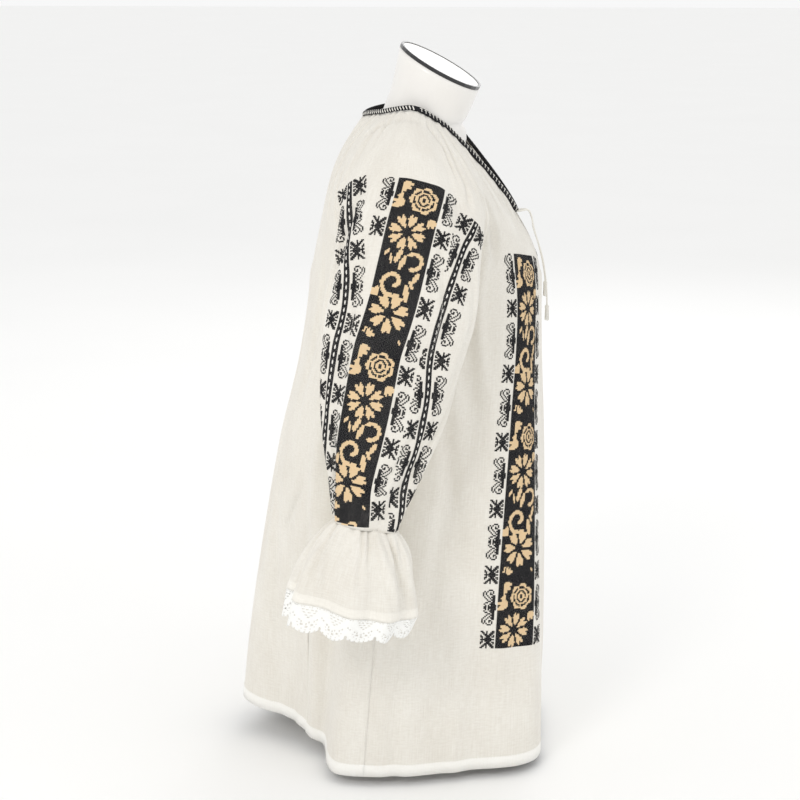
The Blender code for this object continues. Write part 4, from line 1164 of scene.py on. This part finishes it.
@dataclass
class Embroidery:
    """The worked bands and columns of both sleeves and of the front."""

    # Panel row and column of each band's middle line
    sleeve_line = np.array([(4.79, 11.57), (6.88, 13.04), (9.17, 13.59), (11.36, 13.51), (14.09, 13.45),
                            (16.09, 13.30), (17.43, 12.81), (18.00, 12.65)])
    front_line = np.array([(5.70, 6.00), (8.10, 4.77), (10.87, 5.64), (12.42, 5.99), (14.38, 6.31),
                           (16.30, 6.47)])
    # Panel row and distance towards the front
    fore_column = np.array([(4.8, 0.080), (5.5, 0.075), (6.0, 0.071), (6.5, 0.066), (7.0, 0.061),
                            (7.7, 0.058),
                            (8.6, 0.058), (9.8, 0.062), (11.5, 0.067), (14.0, 0.070), (16.0, 0.068),
                            (18.0, 0.066)])
    rear_column = np.array([(4.8, -0.094), (5.7, -0.087), (6.3, -0.080), (6.9, -0.071), (7.5, -0.062),
                            (8.3, -0.055),
                            (9.2, -0.052), (11.0, -0.051), (14.0, -0.051), (18.0, -0.051)])
    front_stitches: int = 278
    tucked_from: int = 44
    folded: tuple[int, int] = (45, 92)
    band_reach: float = 0.0475

    def work(self, shop: "Workshop", panels: dict[str, Panel]) -> dict[str, list[bpy.types.Object]]:
        """Work every band, and return the pieces by the cloth that they lie on."""
        done: dict[str, list[bpy.types.Object]] = {"front": []}
        band = BAND_STITCHES // 2 + 1 + MOTIF_WIDTH
        narrow = 2 + 1 + MOTIF_WIDTH
        middle = Strip(panels["sleeve"], self.sleeve_line, band)
        lines = {"fore": middle.beside(self.fore_column, 5.5), "rear": middle.beside(self.rear_column, 4.0)}
        spine = middle.panel.surface.at(*middle.stations()[:2])
        for side in Side:
            word = side.word
            pieces = middle.sew(shop, f"sleeve_{word}_band", self.sleeve_chart, side.value)
            for place, line in lines.items():
                column = Strip(panels["sleeve"], line, narrow)
                chart = Chart.chain
                if place == "fore":
                    column.covered, chart = (spine, self.band_reach), self.fore_chart
                pieces += column.sew(shop, f"sleeve_{word}_{place}_column", chart, side.value)
                pieces.append(column.dash(shop, f"sleeve_{word}_{place}_dashes", side.value))
            done[f"sleeve_{word}"] = pieces
            strip = Strip(panels[f"front_{word}"], self.front_line, band)
            done["front"] += strip.sew(shop, f"front_{word}_band", self.front_chart, side.value)
        return done

    def sleeve_chart(self, count: int) -> np.ndarray:
        """Return the sleeve band's chart, whose rear motifs go into a tuck after the first two."""
        chart = Chart.band(count, SCROLL_FIRST)
        chart[self.tucked_from:, :MOTIF_WIDTH] = Finish.BARE.value
        return chart

    def fore_chart(self, count: int) -> np.ndarray:
        """Return the fore column's chart, where a fold covers one pair of motifs next to the band."""
        chart = Chart.chain(count)
        chart[self.folded[0]:self.folded[1], :MOTIF_WIDTH] = Finish.BARE.value
        return chart

    def front_chart(self, count: int) -> np.ndarray:
        """Return the front band's chart, which stops after a whole motif."""
        chart = Chart.band(count, SCROLL_FIRST)
        chart[self.front_stitches:] = Finish.BARE.value
        return chart


# Main forms


@dataclass
class DressForm:
    """The limbless form: a smooth torso with a leaning neck, whose cap and rim are dressed as they are."""

    around: int = 72
    steps: int = 6
    top: float = 0.855

    def ring(self, height: float, count: int) -> np.ndarray:
        """Return one ring of the torso."""
        _, centre_y, half_width, half_depth, power, tilt, roll = read_table(FORM_SECTIONS, height)
        angle = math.tau * np.arange(count) / count
        radius = (np.abs(np.cos(angle) / half_width)**power
                  + np.abs(np.sin(angle) / half_depth)**power)**(-1 / power)
        level = np.stack([radius * np.cos(angle), radius * np.sin(angle), np.zeros(count)], axis=1)
        lean = np.array(Euler((math.radians(tilt), math.radians(-roll), 0)).to_matrix())
        return level @ lean.T + (0, centre_y, height)

    def build(self, shop: Workshop) -> None:
        """Make the torso and dress it."""
        keys = FORM_SECTIONS[:, 0]
        heights = np.concatenate([np.linspace(a, b, self.steps, endpoint=False) for a,
                                  b in zip(keys, keys[1:])]
                                 + [[self.top]])
        rings = np.array([self.ring(h, self.around) for h in heights])
        ends = np.array([rings[0].mean(0), rings[-1].mean(0)])
        faces = ring_faces(len(heights), self.around)[:, ::-1]
        obj = new_mesh("form_torso", np.concatenate([rings.reshape(-1, 3), ends]), faces)
        last = len(heights) * self.around
        with edited(obj) as mesh:
            for k in range(self.around):
                n = (k + 1) % self.around
                mesh.faces.new([mesh.verts[i] for i in (n, k, last)])
                mesh.faces.new([mesh.verts[i + last - self.around] for i in (k, n)] + [mesh.verts[last + 1]])
            bmesh.ops.recalc_face_normals(mesh, faces=mesh.faces)
        shop.dress(obj, shop.plastic, "pale_plastic", "dress_form")


@dataclass
class Blouse:
    """The blouse's cloth: front, back, sleeves and wrist ruffles, each a sheet laid on its own surface."""

    thickness: float = 0.9 * MM
    hem: float = 16 * MM
    hem_stitch: float = 3.6 * MM
    cuff_hem: float = 12 * MM
    tuck: float = 0.7 * MM
    seam_reach: float = 0.05
    seam_calm: float = 0.05
    panels: dict[str, Panel] = field(default_factory=dict)
    cloth: dict[str, bpy.types.Object] = field(default_factory=dict)

    # Width and length of each panel, or of half the front and back, which its creases and weave are measured in
    sizes = {"front": (0.36, 0.67), "back": (0.39, 0.78), "sleeve": (0.45, 0.50), "flounce": (0.38, 0.098)}
    finer = {"front": (5, 5), "back": (5, 5), "sleeve": (5, 6), "flounce": (7, 4)}
    # Creases as places across and along at the start, the same at the end, the half width and the rise
    front_creases = {
        -1: creases(
            (0.10, 0.02, 0.22, 0.13, 0.012, -0.0026), (0.30, 0.00, 0.30, 0.14, 0.011, -0.0024),
            (0.46, 0.00, 0.40, 0.17, 0.011, 0.0019), (0.62, 0.00, 0.50, 0.20, 0.012, -0.0024),
            (0.80, 0.02, 0.66, 0.24, 0.013, -0.0029), (0.96, 0.19, 0.68, 0.35, 0.017, -0.0078),
            (0.98, 0.24, 0.60, 0.60, 0.028, -0.0067), (0.90, 0.42, 0.60, 0.82, 0.026, -0.0054),
            (0.78, 0.32, 0.56, 0.58, 0.020, 0.0039), (0.70, 0.60, 0.80, 0.84, 0.026, -0.0054),
            (0.84, 0.56, 0.68, 0.72, 0.018, 0.0036), (0.44, 0.62, 0.40, 0.98, 0.030, -0.0051),
            (0.10, 0.30, 0.12, 0.60, 0.020, -0.0021), (0.64, 0.74, 0.62, 1.10, 0.024, 0.0039),
            (0.30, 0.86, 0.56, 0.90, 0.016, -0.0027), (0.92, 0.74, 0.86, 1.10, 0.022, -0.0045)),
        1: creases(
            (0.12, 0.02, 0.24, 0.15, 0.012, -0.0024), (0.34, 0.00, 0.32, 0.14, 0.011, -0.0024),
            (0.50, 0.00, 0.46, 0.16, 0.012, 0.0019), (0.68, 0.00, 0.56, 0.21, 0.012, -0.0024),
            (0.84, 0.02, 0.70, 0.26, 0.014, -0.0029), (0.96, 0.18, 0.70, 0.38, 0.018, -0.0069),
            (0.94, 0.28, 0.60, 0.66, 0.026, -0.0060), (0.82, 0.50, 0.60, 0.88, 0.026, -0.0048),
            (0.40, 0.58, 0.44, 0.96, 0.026, -0.0042), (0.14, 0.40, 0.10, 0.74, 0.020, -0.0021),
            (0.72, 0.70, 0.70, 1.12, 0.024, 0.0039), (0.90, 0.66, 0.88, 1.06, 0.022, -0.0045))}
    back_creases = {
        -1: creases(
            (0.08, 0.00, 0.06, 0.16, 0.011, -0.0022), (0.24, 0.00, 0.20, 0.18, 0.012, -0.0026),
            (0.42, 0.00, 0.36, 0.20, 0.012, -0.0024), (0.60, 0.00, 0.50, 0.24, 0.012, -0.0026),
            (0.80, 0.02, 0.62, 0.30, 0.015, -0.0034), (0.46, 0.66, 0.25, 0.75, 0.007, -0.0042),
            (0.94, 0.16, 0.72, 0.46, 0.024, -0.0059), (0.16, 0.36, 0.10, 0.84, 0.024, -0.0048),
            (0.48, 0.30, 0.34, 0.60, 0.020, -0.0042), (0.62, 0.50, 0.52, 0.72, 0.020, 0.0034),
            (0.50, 0.55, 0.42, 1.75, 0.050, -0.0150), (0.20, 0.60, 0.24, 1.10, 0.020, -0.0034)),
        1: creases(
            (0.10, 0.00, 0.10, 0.15, 0.011, -0.0022), (0.28, 0.00, 0.26, 0.19, 0.012, -0.0026),
            (0.46, 0.00, 0.42, 0.17, 0.012, -0.0024), (0.66, 0.00, 0.56, 0.25, 0.013, -0.0026),
            (0.84, 0.02, 0.66, 0.32, 0.015, -0.0034), (0.92, 0.20, 0.68, 0.52, 0.024, -0.0059),
            (0.40, 0.42, 0.34, 0.84, 0.024, -0.0045), (0.20, 0.30, 0.14, 0.62, 0.020, -0.0034),
            (0.34, 0.64, 0.16, 0.74, 0.008, -0.0036), (0.12, 0.66, 0.16, 1.12, 0.020, -0.0036))}
    sleeve_creases = creases(
        (0.10, 0.00, 0.13, 0.12, 0.009, -0.0018), (0.79, 0.00, 0.76, 0.16, 0.010, -0.0018),
        (0.91, 0.01, 0.84, 0.22, 0.012, -0.0020), (1.06, 0.150, 0.80, 0.036, 0.008, -0.0040),
        (0.94, 0.070, 0.56, 0.030, 0.007, -0.0034), (0.68, 0.038, 0.32, 0.050, 0.007, -0.0030),
        (0.36, 0.034, 0.235, 0.125, 0.008, -0.0038), (0.256, 0.07, 0.270, 0.25, 0.009, -0.0036),
        (0.165, 0.02, 0.235, 0.22, 0.012, -0.0042), (0.08, 0.03, 0.065, 0.26, 0.013, -0.0044),
        (0.12, 0.05, 0.14, 0.26, 0.011, 0.0030), (0.205, 0.18, 0.25, 0.29, 0.011, -0.0036),
        (0.215, 0.26, 0.36, 0.31, 0.011, -0.0032), (0.06, 0.20, 0.11, 0.34, 0.014, -0.0030),
        (0.40, 0.36, 0.375, 0.68, 0.013, -0.0034), (0.605, 0.28, 0.62, 0.84, 0.013, -0.0030),
        (0.588, 0.31, 0.592, 0.70, 0.0055, -0.0036), (0.408, 0.34, 0.402, 0.60, 0.0055, -0.0028),
        (0.27, 0.34, 0.29, 0.70, 0.013, -0.0030), (0.22, 0.58, 0.32, 0.98, 0.011, -0.0032),
        (0.36, 0.62, 0.39, 0.99, 0.010, -0.0030), (0.64, 0.72, 0.62, 1.00, 0.010, -0.0030),
        (0.72, 0.24, 0.74, 0.70, 0.014, -0.0034), (0.82, 0.40, 0.80, 0.96, 0.013, -0.0034),
        (0.10, 0.46, 0.12, 0.96, 0.013, -0.0032), (0.92, 0.50, 0.93, 0.98, 0.012, -0.0030),
        (0.17, 0.40, 0.19, 0.66, 0.012, 0.0022), (0.68, 0.50, 0.70, 0.90, 0.011, 0.0022))
    ruffle_creases = creases(
        (0.577, 0.02, 0.625, 1.00, 0.009, 0.0041), (0.553, -0.20, 0.51, 0.90, 0.008, -0.0050),
        (0.528, 0.10, 0.478, 1.00, 0.006, 0.0035), (0.404, -0.25, 0.372, 0.74, 0.007, -0.0052),
        (0.366, -0.25, 0.360, 0.46, 0.006, -0.0041), (0.335, -0.05, 0.235, 1.05, 0.009, 0.0050),
        (0.290, -0.20, 0.185, 0.98, 0.009, -0.0052), (0.450, -0.20, 0.436, 0.60, 0.008, -0.0035),
        (0.130, -0.05, 0.100, 0.95, 0.009, 0.0038), (0.060, -0.20, 0.040, 0.60, 0.008, -0.0038),
        (0.700, -0.20, 0.710, 0.65, 0.008, -0.0041), (0.790, 0.05, 0.815, 1.00, 0.009, 0.0041),
        (0.880, -0.20, 0.870, 0.70, 0.008, -0.0038), (0.940, 0.10, 0.960, 0.95, 0.007, 0.0032))

    @staticmethod
    def gathers(count: float, height: float, reach: float) -> Callable[[np.ndarray, np.ndarray], np.ndarray]:
        """Return small pleats that run down from a gathered edge and die away.

        Args:
            count: how many pleats cross the panel.
            height: how far they stand out at the edge.
            reach: the share of the panel's length that they reach.
        """
        def pleats(across: np.ndarray, along: np.ndarray) -> np.ndarray:
            phase = math.tau * count * across + 1.1 * np.sin(math.tau * across * 2.3) + 0.6 * np.sin(17
                                                                                                     * across)
            fade = (1 - smooth_step(along, 0.0, reach)) * (0.7 + 0.3 * np.sin(9 * across + 1))
            return height * np.sin(phase) * fade
        return pleats

    def wrist_pleats(self, across: np.ndarray, along: np.ndarray) -> np.ndarray:
        """Return the sleeve's pleats: at the neckline, and finer ones into the wrist."""
        top = self.gathers(9, 0.9 * MM, 0.17)(across, along)
        phase = math.tau * 15 * across + 0.9 * np.sin(math.tau * across * 3)
        return top + 0.8 * MM * np.sin(phase) * smooth_step(along, 0.86,
                                                            0.98) * (1 - smooth_step(along, 0.98, 1.0))

    def ruffle_pleats(self, across: np.ndarray, along: np.ndarray) -> np.ndarray:
        """Return the ruffle's fine pleats below the wrist, and its lengthwise creases."""
        phase = math.tau * 19 * across + 1.2 * np.sin(math.tau * across * 4)
        fine = 1.3 * MM * np.sin(phase) * smooth_step(along, 0.0, 0.12) * (1 - smooth_step(along, 0.12, 0.8))
        slow = 1.3 * MM * np.sin(math.tau * 11 * across + 2) * smooth_step(along, 0.1, 0.5)
        return fine + slow

    def build(self, shop: Workshop) -> None:
        """Make every sheet of cloth."""
        for name, folded in (("front", self.front_creases), ("back", self.back_creases)):
            front = name == "front"
            for side in Side:
                surface = Surface(BlousePattern.body(front, side.value),
                                  mirror_from=SLIT_ROWS if front else 0,
                                  reach=self.seam_reach)
                self.panels[f"{name}_{side.word}"] = Panel(
                    name, surface, *self.sizes[name], folded[side.value], turned=1.0 if front else -1.0,
                    hem=self.hem, seam_calm=self.seam_calm, extra=self.gathers(6, 0.8 * MM, 0.14))
            halves = [(self.panels[f"{name}_{side.word}"], side.value) for side in Side]
            sheet = cloth_mesh(f"{name}_panel", halves, self.finer[name], self.thickness)
            shop.dress(sheet, shop.cotton, "ivory_cotton", name).data.materials.append(shop.hem)
            self.cloth[name] = sheet
        sleeve = Panel("sleeve", Surface(BlousePattern.sleeve(), closed_from=YOKE_ROWS),
                       *self.sizes["sleeve"],
                       self.sleeve_creases, seam_calm=self.seam_calm, extra=self.wrist_pleats)
        ruffle = BlousePattern.flounce()
        ends = np.linspace(0, sleeve.surface.cols, len(ruffle[0]))
        wrist = np.full_like(ends, sleeve.surface.rows)
        ruffle[0] = sleeve.surface.at(wrist, ends) - sleeve.surface.normal(wrist, ends) * self.tuck
        ruffle[0, :, 2] += 2 * self.tuck
        flounce = Panel("flounce", Surface(ruffle, closed_from=0), *self.sizes["flounce"],
                        self.ruffle_creases,
                        hem=self.cuff_hem, extra=self.ruffle_pleats)
        self.panels.update(sleeve=sleeve, flounce=flounce)
        for side in Side:
            for panel in (sleeve, flounce):
                name = f"{panel.name}_{side.word}"
                sheet = cloth_mesh(f"{name}_cloth", [(panel, side.value)], self.finer[panel.name],
                                   self.thickness)
                shop.dress(sheet, shop.cotton, "ivory_cotton", name).data.materials.append(shop.cuff)
                self.cloth[name] = sheet

    def stitch_hems(self, shop: Workshop) -> dict[str, list[bpy.types.Object]]:
        """Sew running stitches along the top of every hem, and return them by the cloth that they lie on."""
        done: dict[str, list[bpy.types.Object]] = {}
        out = self.thickness / 2 + 0.05 * MM
        for side in Side:
            for part in ("front", "back", "flounce"):
                name = f"{part}_{side.word}"
                panel = self.panels[name] if name in self.panels else self.panels[part]
                cols = np.linspace(0.05, panel.surface.cols - 0.05, 900)
                rows = np.full_like(cols, panel.hem_row(panel.hem - 1.5 * MM))
                length = run_length(panel.at(rows, cols, out))
                marks = np.arange(MM, length[-1] - 4 * MM, self.hem_stitch)
                places = [np.interp(marks + shift, length, cols) for shift in (0, self.hem_stitch * 0.66)]
                starts, ends = (panel.at(rows[:len(marks)], place, out) for place in places)
                normals = panel.normal(rows[:len(marks)], places[0])
                piece = ribbons(f"{name}_hem_stitches", shop.white, side.value, starts, ends, normals,
                                0.28 * MM, np.full(len(marks), 0.3 * MM))
                done.setdefault(name if name in self.cloth else part, []).append(piece)
        return done

    def declare(self) -> None:
        """Log each sheet's flat size."""
        for name, sheet in self.cloth.items():
            LOG.info("%s is %.4f square metres", name, cloth_area(sheet))


@dataclass
class Lace:
    """Cotton lace at the ruffle's foot: a net of small cells, whose holes repeat at every scallop."""

    down: int = 30
    over: int = 24
    thickness: float = 0.5 * MM
    flat: tuple[float, float] = (0.44, 0.033)
    flat_area: float = 0.0125

    def holes(self) -> np.ndarray:
        """Return which cells are left open in one scallop's width."""
        open_cells = np.zeros((self.down, self.over), bool)

        def hole(x: float, y: float, wide: int, tall: int) -> None:
            column, row = round(x - wide / 2), round(y - tall / 2)
            for k in range(wide):
                open_cells[row:row + tall, (column + k) % self.over] = True

        middle = self.over / 2
        for x in range(1, self.over, 3):
            hole(x, 1.5, 1, 1)
        for rank in range(4):
            count = 4 - rank
            for k in range(count):
                hole(middle + (k - (count - 1) / 2) * 3.6, 5 + rank * 2.6, 2, 1)
        for k in range(8):
            hole(k * 3 + 1, 20 - abs(k - 4) * 1.7, 1, 2)
        for k in range(7):
            way = math.radians(15 + 25 * k)
            hole(middle + 8.2 * math.cos(way), 18.5 + 7.6 * math.sin(way), 1, 1)
        for k in range(3):
            hole(middle + (k - 1) * 4, 21 + (k == 1) * 2, 2, 2)
        for lobe in range(1, 6):
            x = lobe * self.over / 6
            open_cells[self.down - 2:, round(x) % self.over] = True
        open_cells[self.down - 5:, 0] = open_cells[self.down - 4:, -1] = True
        return open_cells

    def point(self, drop: float, across: float) -> np.ndarray:
        """Return a point of the lace, whose foot is cut into scallops."""
        point = BlousePattern.ruffled(LACE_TUBE, drop, across, 1.0)
        point[2] += drop * SCALLOP_DEPTH * (1 - abs(math.sin(math.pi * SCALLOPS * across)))
        return point

    def build(self, shop: Workshop) -> dict[str, bpy.types.Object]:
        """Make both edgings and return them by side."""
        count = SCALLOPS * self.over
        grid = np.array([[self.point(i / self.down, j / count) for j in range(count + 1)]
                         for i in range(self.down + 1)])
        quads = grid_faces(self.down + 1, count + 1)
        kept = quads[~np.tile(self.holes(), SCALLOPS).ravel()]
        made = {}
        for side in Side:
            piece = new_mesh(f"lace_{side.word}_edging", grid, kept, side.value)
            with edited(piece) as mesh:
                loose = [point for point in mesh.verts if not point.link_faces]
                bmesh.ops.delete(mesh, geom=loose, context="VERTS")
            weld(piece)
            thicken(piece, self.thickness)
            made[side.word] = shop.dress(piece, shop.lace, "white_lace", f"lace_{side.word}")
            LOG.info("lace %s is %.4f square metres", side.word, cloth_area(piece))
        return made


class Slant(NamedTuple):
    """A set of like stitches across the braid; low and high are shares of its half height from its middle."""

    starts: np.ndarray
    low: float
    stops: np.ndarray
    high: float
    half_width: float
    rise: float


@dataclass
class NeckBraid:
    """The braid round the neckline: a black band with white stitches in front, and a twisted rope behind."""

    finer: int = 8
    corner: int = 10
    rope_from: float = 12.5
    mark: float = 5.6 * MM
    wrap: float = 4.0 * MM

    def frames(self) -> tuple[np.ndarray, np.ndarray, np.ndarray]:
        """Return the neckline's points and the band's two axes, finely spaced."""
        line, ups, outs = BlousePattern.trim_frames()
        steps = (len(line) - 1) * self.finer
        place = np.linspace(0, len(line) - 1, steps + 1)
        grid = [Surface(np.stack([part, part], axis=0)).at(np.zeros_like(place), place)
                for part in (line, ups, outs)]
        return grid[0], unit(grid[1]), unit(grid[2])

    def build(self, shop: Workshop) -> None:
        """Make the band, rounded in section."""
        line, ups, outs = self.frames()
        angles = math.tau * np.arange(self.corner) / self.corner
        round_up, round_out = (np.sign(wave) * np.abs(wave)**0.7 for wave in (np.sin(angles), np.cos(angles)))
        tall = TRIM_GAP + TRIM_WIDTH / 2 + round_up * TRIM_WIDTH / 2
        deep = round_out * TRIM_THICKNESS / 2
        rings = line[:, None] + ups[:, None] * tall[None, :, None] + outs[:, None] * deep[None, :, None]
        obj = new_mesh("neck_band", rings.reshape(-1, 3), ring_faces(len(line), self.corner))
        with edited(obj) as mesh:
            for first in (0, (len(line) - 1) * self.corner):
                mesh.faces.new([mesh.verts[first + k] for k in range(self.corner)])
            bmesh.ops.recalc_face_normals(mesh, faces=mesh.faces)
        shop.dress(obj, shop.black, "black_braid", "neck_trim")
        self.stitch(shop, line, ups, outs)

    def stitch(self, shop: Workshop, line: np.ndarray, ups: np.ndarray, outs: np.ndarray) -> None:
        """Work the white stitches: small stems with bars in front, and slanting wraps behind, as on a rope."""
        length = run_length(line)
        turn = length[round(self.rope_from * self.finer)]

        def along(part: np.ndarray, marks: np.ndarray) -> np.ndarray:
            return np.stack([np.interp(marks, length, part[:, k]) for k in range(3)], axis=1)

        def place(marks: np.ndarray, share: float) -> np.ndarray:
            rise = TRIM_GAP + TRIM_WIDTH / 2 + share * TRIM_WIDTH / 2
            out = TRIM_THICKNESS / 2 * (1 - 0.5 * share**4) + 0.05 * MM
            return along(line, marks) + along(ups, marks) * rise - along(outs, marks) * out

        marks = np.arange(2 * MM, turn - self.mark, self.mark)
        marks = np.concatenate([marks, length[-1] - marks])
        wraps = np.arange(turn + MM, length[-1] - turn, self.wrap)
        stem, bar = marks + 0.30 * self.mark, marks + 0.62 * self.mark
        sets = (Slant(marks, -0.60, stem, 0.45, 0.40 * MM, 0.35 * MM),
                Slant(marks - 0.05 * self.mark, 0.55, bar, 0.55, 0.40 * MM, 0.35 * MM),
                Slant(wraps, -0.92, wraps + self.wrap * 0.8, 0.92, 0.66 * MM, 1.00 * MM))
        starts = np.concatenate([place(each.starts, each.low) for each in sets])
        ends = np.concatenate([place(each.stops, each.high) for each in sets])
        normals = np.concatenate([-unit(along(outs, (each.starts + each.stops) / 2)) for each in sets])
        widths = np.concatenate([np.full((len(each.starts), 1), each.half_width) for each in sets])
        heights = np.concatenate([np.full(len(each.starts), each.rise) for each in sets])
        ribbons("neck_band_stitches", shop.white, -1, starts, ends, normals, widths, heights)


@dataclass
class Drawstring:
    """The drawstring's two free ends, each a round cord with a tassel."""

    diameter: float = 2.0 * MM
    routes = {
        "right": ((-0.0046, -0.1275, 0.6835), (-0.0036, -0.1320, 0.6750), (-0.0020, -0.1340, 0.6620),
                  (0.0005, -0.1395, 0.6450), (0.0030, -0.1455, 0.6250), (0.0055, -0.1495, 0.6020),
                  (0.0080, -0.1515, 0.5820), (0.0095, -0.1522, 0.5640)),
        "left": ((0.0078, -0.1270, 0.6820), (0.0100, -0.1315, 0.6730), (0.0125, -0.1345, 0.6590),
                 (0.0155, -0.1395, 0.6420), (0.0185, -0.1445, 0.6230), (0.0210, -0.1480, 0.6040),
                 (0.0225, -0.1495, 0.5920))}
    first_reach: float = 5 * MM
    step: float = 2.5 * MM

    def route(self, side: str) -> list[Vector]:
        """Return the points that one end follows, from in front of the braid."""
        line, ups, outs = BlousePattern.trim_frames()
        number = 0 if side == "right" else -1
        out = outs[number] * (1 if outs[number][1] < 0 else -1)
        start = line[number] + ups[number] * (TRIM_GAP + TRIM_WIDTH / 2) + out * (TRIM_THICKNESS / 2
                                                                                  + SEAM_GAP)
        points = np.array([start, start + out * self.first_reach, *self.routes[side]])
        points = np.concatenate([[points[0] * 2 - points[1]], points, [points[-1] * 2 - points[-2]]])
        result = []
        for four in zip(points, points[1:], points[2:], points[3:]):
            steps = max(1, round(float(np.linalg.norm(four[2] - four[1])) / self.step))
            result.extend(spline_weights(np.arange(steps) / steps) @ np.array(four))
        return [Vector(point) for point in result + [points[-2]]]

    def build(self, shop: Workshop) -> None:
        """Make both ends and dress them."""
        for side in Side:
            points = self.route(side.word)
            curve = bpy.data.curves.new(f"drawstring_{side.word}", "CURVE")
            curve.dimensions = "3D"
            # The bevel is 1 m, and each point's radius scales it to the cord's, so the bounds stay true
            curve.bevel_depth, curve.bevel_resolution, curve.use_fill_caps = 1.0, 3, True
            spline = curve.splines.new("POLY")
            spline.points.add(len(points) - 1)
            for place, point in zip(spline.points, points):
                place.co = (*point, 1)
                place.radius = self.diameter / 2
            cord = to_scene(f"drawstring_{side.word}", curve)
            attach(cord, BODY)
            shop.dress(cord, shop.cord, "white_cord", f"tie_{side.word}")


@dataclass
class Studio:
    """A pale floor, soft light and the camera at the photograph's angle."""

    camera_place: tuple[float, float, float] = (-2.3935, -0.1793, 1.000)
    azimuth: float = 5.0
    pitch: float = 13.1
    lens: float = 88.2
    lights_aim: tuple[float, float, float] = (0.0, 0.0, 0.45)
    world_strength: float = 0.94
    floor_reach: float = 30.0

    # Each light's name, place, size, power and colour
    lights = (("key", (-2.8, 1.1, 2.2), 1.0, 19, "#FFFCF8"), ("fill", (-1.6, -3.0, 1.6), 2.0, 5, "#F8FAFF"),
              ("back", (2.6, -0.6, 2.2), 2.0, 12, "#FFFFFF"))

    def camera(self) -> None:
        """Make the camera."""
        data = bpy.data.cameras.new("camera")
        data.lens, data.sensor_width = self.lens, 36
        data.clip_start, data.clip_end = 0.1, 50
        camera = to_scene("camera", data)
        turn, down = math.radians(self.azimuth), math.radians(self.pitch)
        way = Vector((math.cos(turn) * math.cos(down), math.sin(turn) * math.cos(down), -math.sin(down)))
        camera.location = self.camera_place
        camera.rotation_euler = way.to_track_quat("-Z", "Y").to_euler()
        bpy.context.scene.camera = camera

    def light(self, name: str, place: tuple[float, float, float], size: float, power: float,
              colour: str) -> None:
        """Add one soft area light that points at the blouse."""
        data = bpy.data.lights.new(name, "AREA")
        data.shape, data.size, data.energy, data.color = "DISK", size, power, linear(colour)[:3]
        lamp = to_scene(name, data)
        lamp.location = place
        lamp.rotation_euler = (Vector(self.lights_aim) - Vector(place)).to_track_quat("-Z", "Y").to_euler()

    def build(self) -> None:
        """Make the floor, the world and the lights."""
        for light in self.lights:
            self.light(*light)
        world = bpy.data.worlds.new("studio")
        world.use_nodes = True
        background = world.node_tree.nodes["Background"]
        background.inputs["Color"].default_value = linear("#FFFFFF")
        background.inputs["Strength"].default_value = self.world_strength
        scene = bpy.context.scene
        scene.world = world
        scene.view_settings.view_transform = "Standard"
        reach = self.floor_reach
        mesh = bpy.data.meshes.new("floor")
        mesh.from_pydata([(-reach, -reach, 0), (reach, -reach, 0), (reach, reach, 0), (-reach, reach, 0)], [],
                         [(0, 1, 2, 3)])
        floor = to_scene("floor", mesh)
        made, shader = blank_material("studio_floor", 0.9)
        tree = made.node_tree
        place = add_node(tree, "ShaderNodeTexCoord")
        noise = add_node(tree, "ShaderNodeTexNoise", {"Vector": place.outputs["Object"], "Scale": 2.0})
        colour = add_node(tree, "ShaderNodeMix", {"Factor": noise.outputs["Fac"], 6: linear("#F7F7F6"),
                                                  7: linear("#FAFAF9")}, data_type="RGBA")
        tree.links.new(colour.outputs[2], shader.inputs["Base Color"])
        floor.data.materials.append(made)


def dress_kept_nodes(shop: Workshop, nodes: dict[str, bpy.types.Object]) -> None:
    """Give the solids that stay in view their finishes."""
    # The neck rim takes the black that paints the dark reflection along the glossy neck's edge.
    kept = {"neck_cap": shop.plastic, "neck_rim": shop.rim, "tassel_right": shop.cord,
            "tassel_left": shop.cord}
    for name, material in kept.items():
        nodes[name].data.materials.clear()
        nodes[name].data.materials.append(material)


def triangles_in_scene() -> int:
    """Return how many triangles the scene's meshes come to."""
    meshes = [obj.data for obj in bpy.context.scene.objects if obj.type == "MESH"]
    return sum(len(face.vertices) - 2 for mesh in meshes for face in mesh.polygons)


def main() -> None:
    """Build the pieces in order and report each one."""
    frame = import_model()
    studio = Studio()
    studio.camera()
    shop = Workshop()
    Drawstring().build(shop)
    DressForm().build(shop)
    blouse = Blouse()
    blouse.build(shop)
    NeckBraid().build(shop)
    Lace().build(shop)
    dress_kept_nodes(shop, frame["nodes"])
    worked = Embroidery().work(shop, blouse.panels)
    for name, pieces in blouse.stitch_hems(shop).items():
        worked.setdefault(name, []).extend(pieces)
    blouse.declare()
    studio.build()
    LOG.info("%d triangles", triangles_in_scene())


if __name__ == "__main__":
    logging.basicConfig(level=logging.INFO, format="%(name)s: %(message)s")
    main()
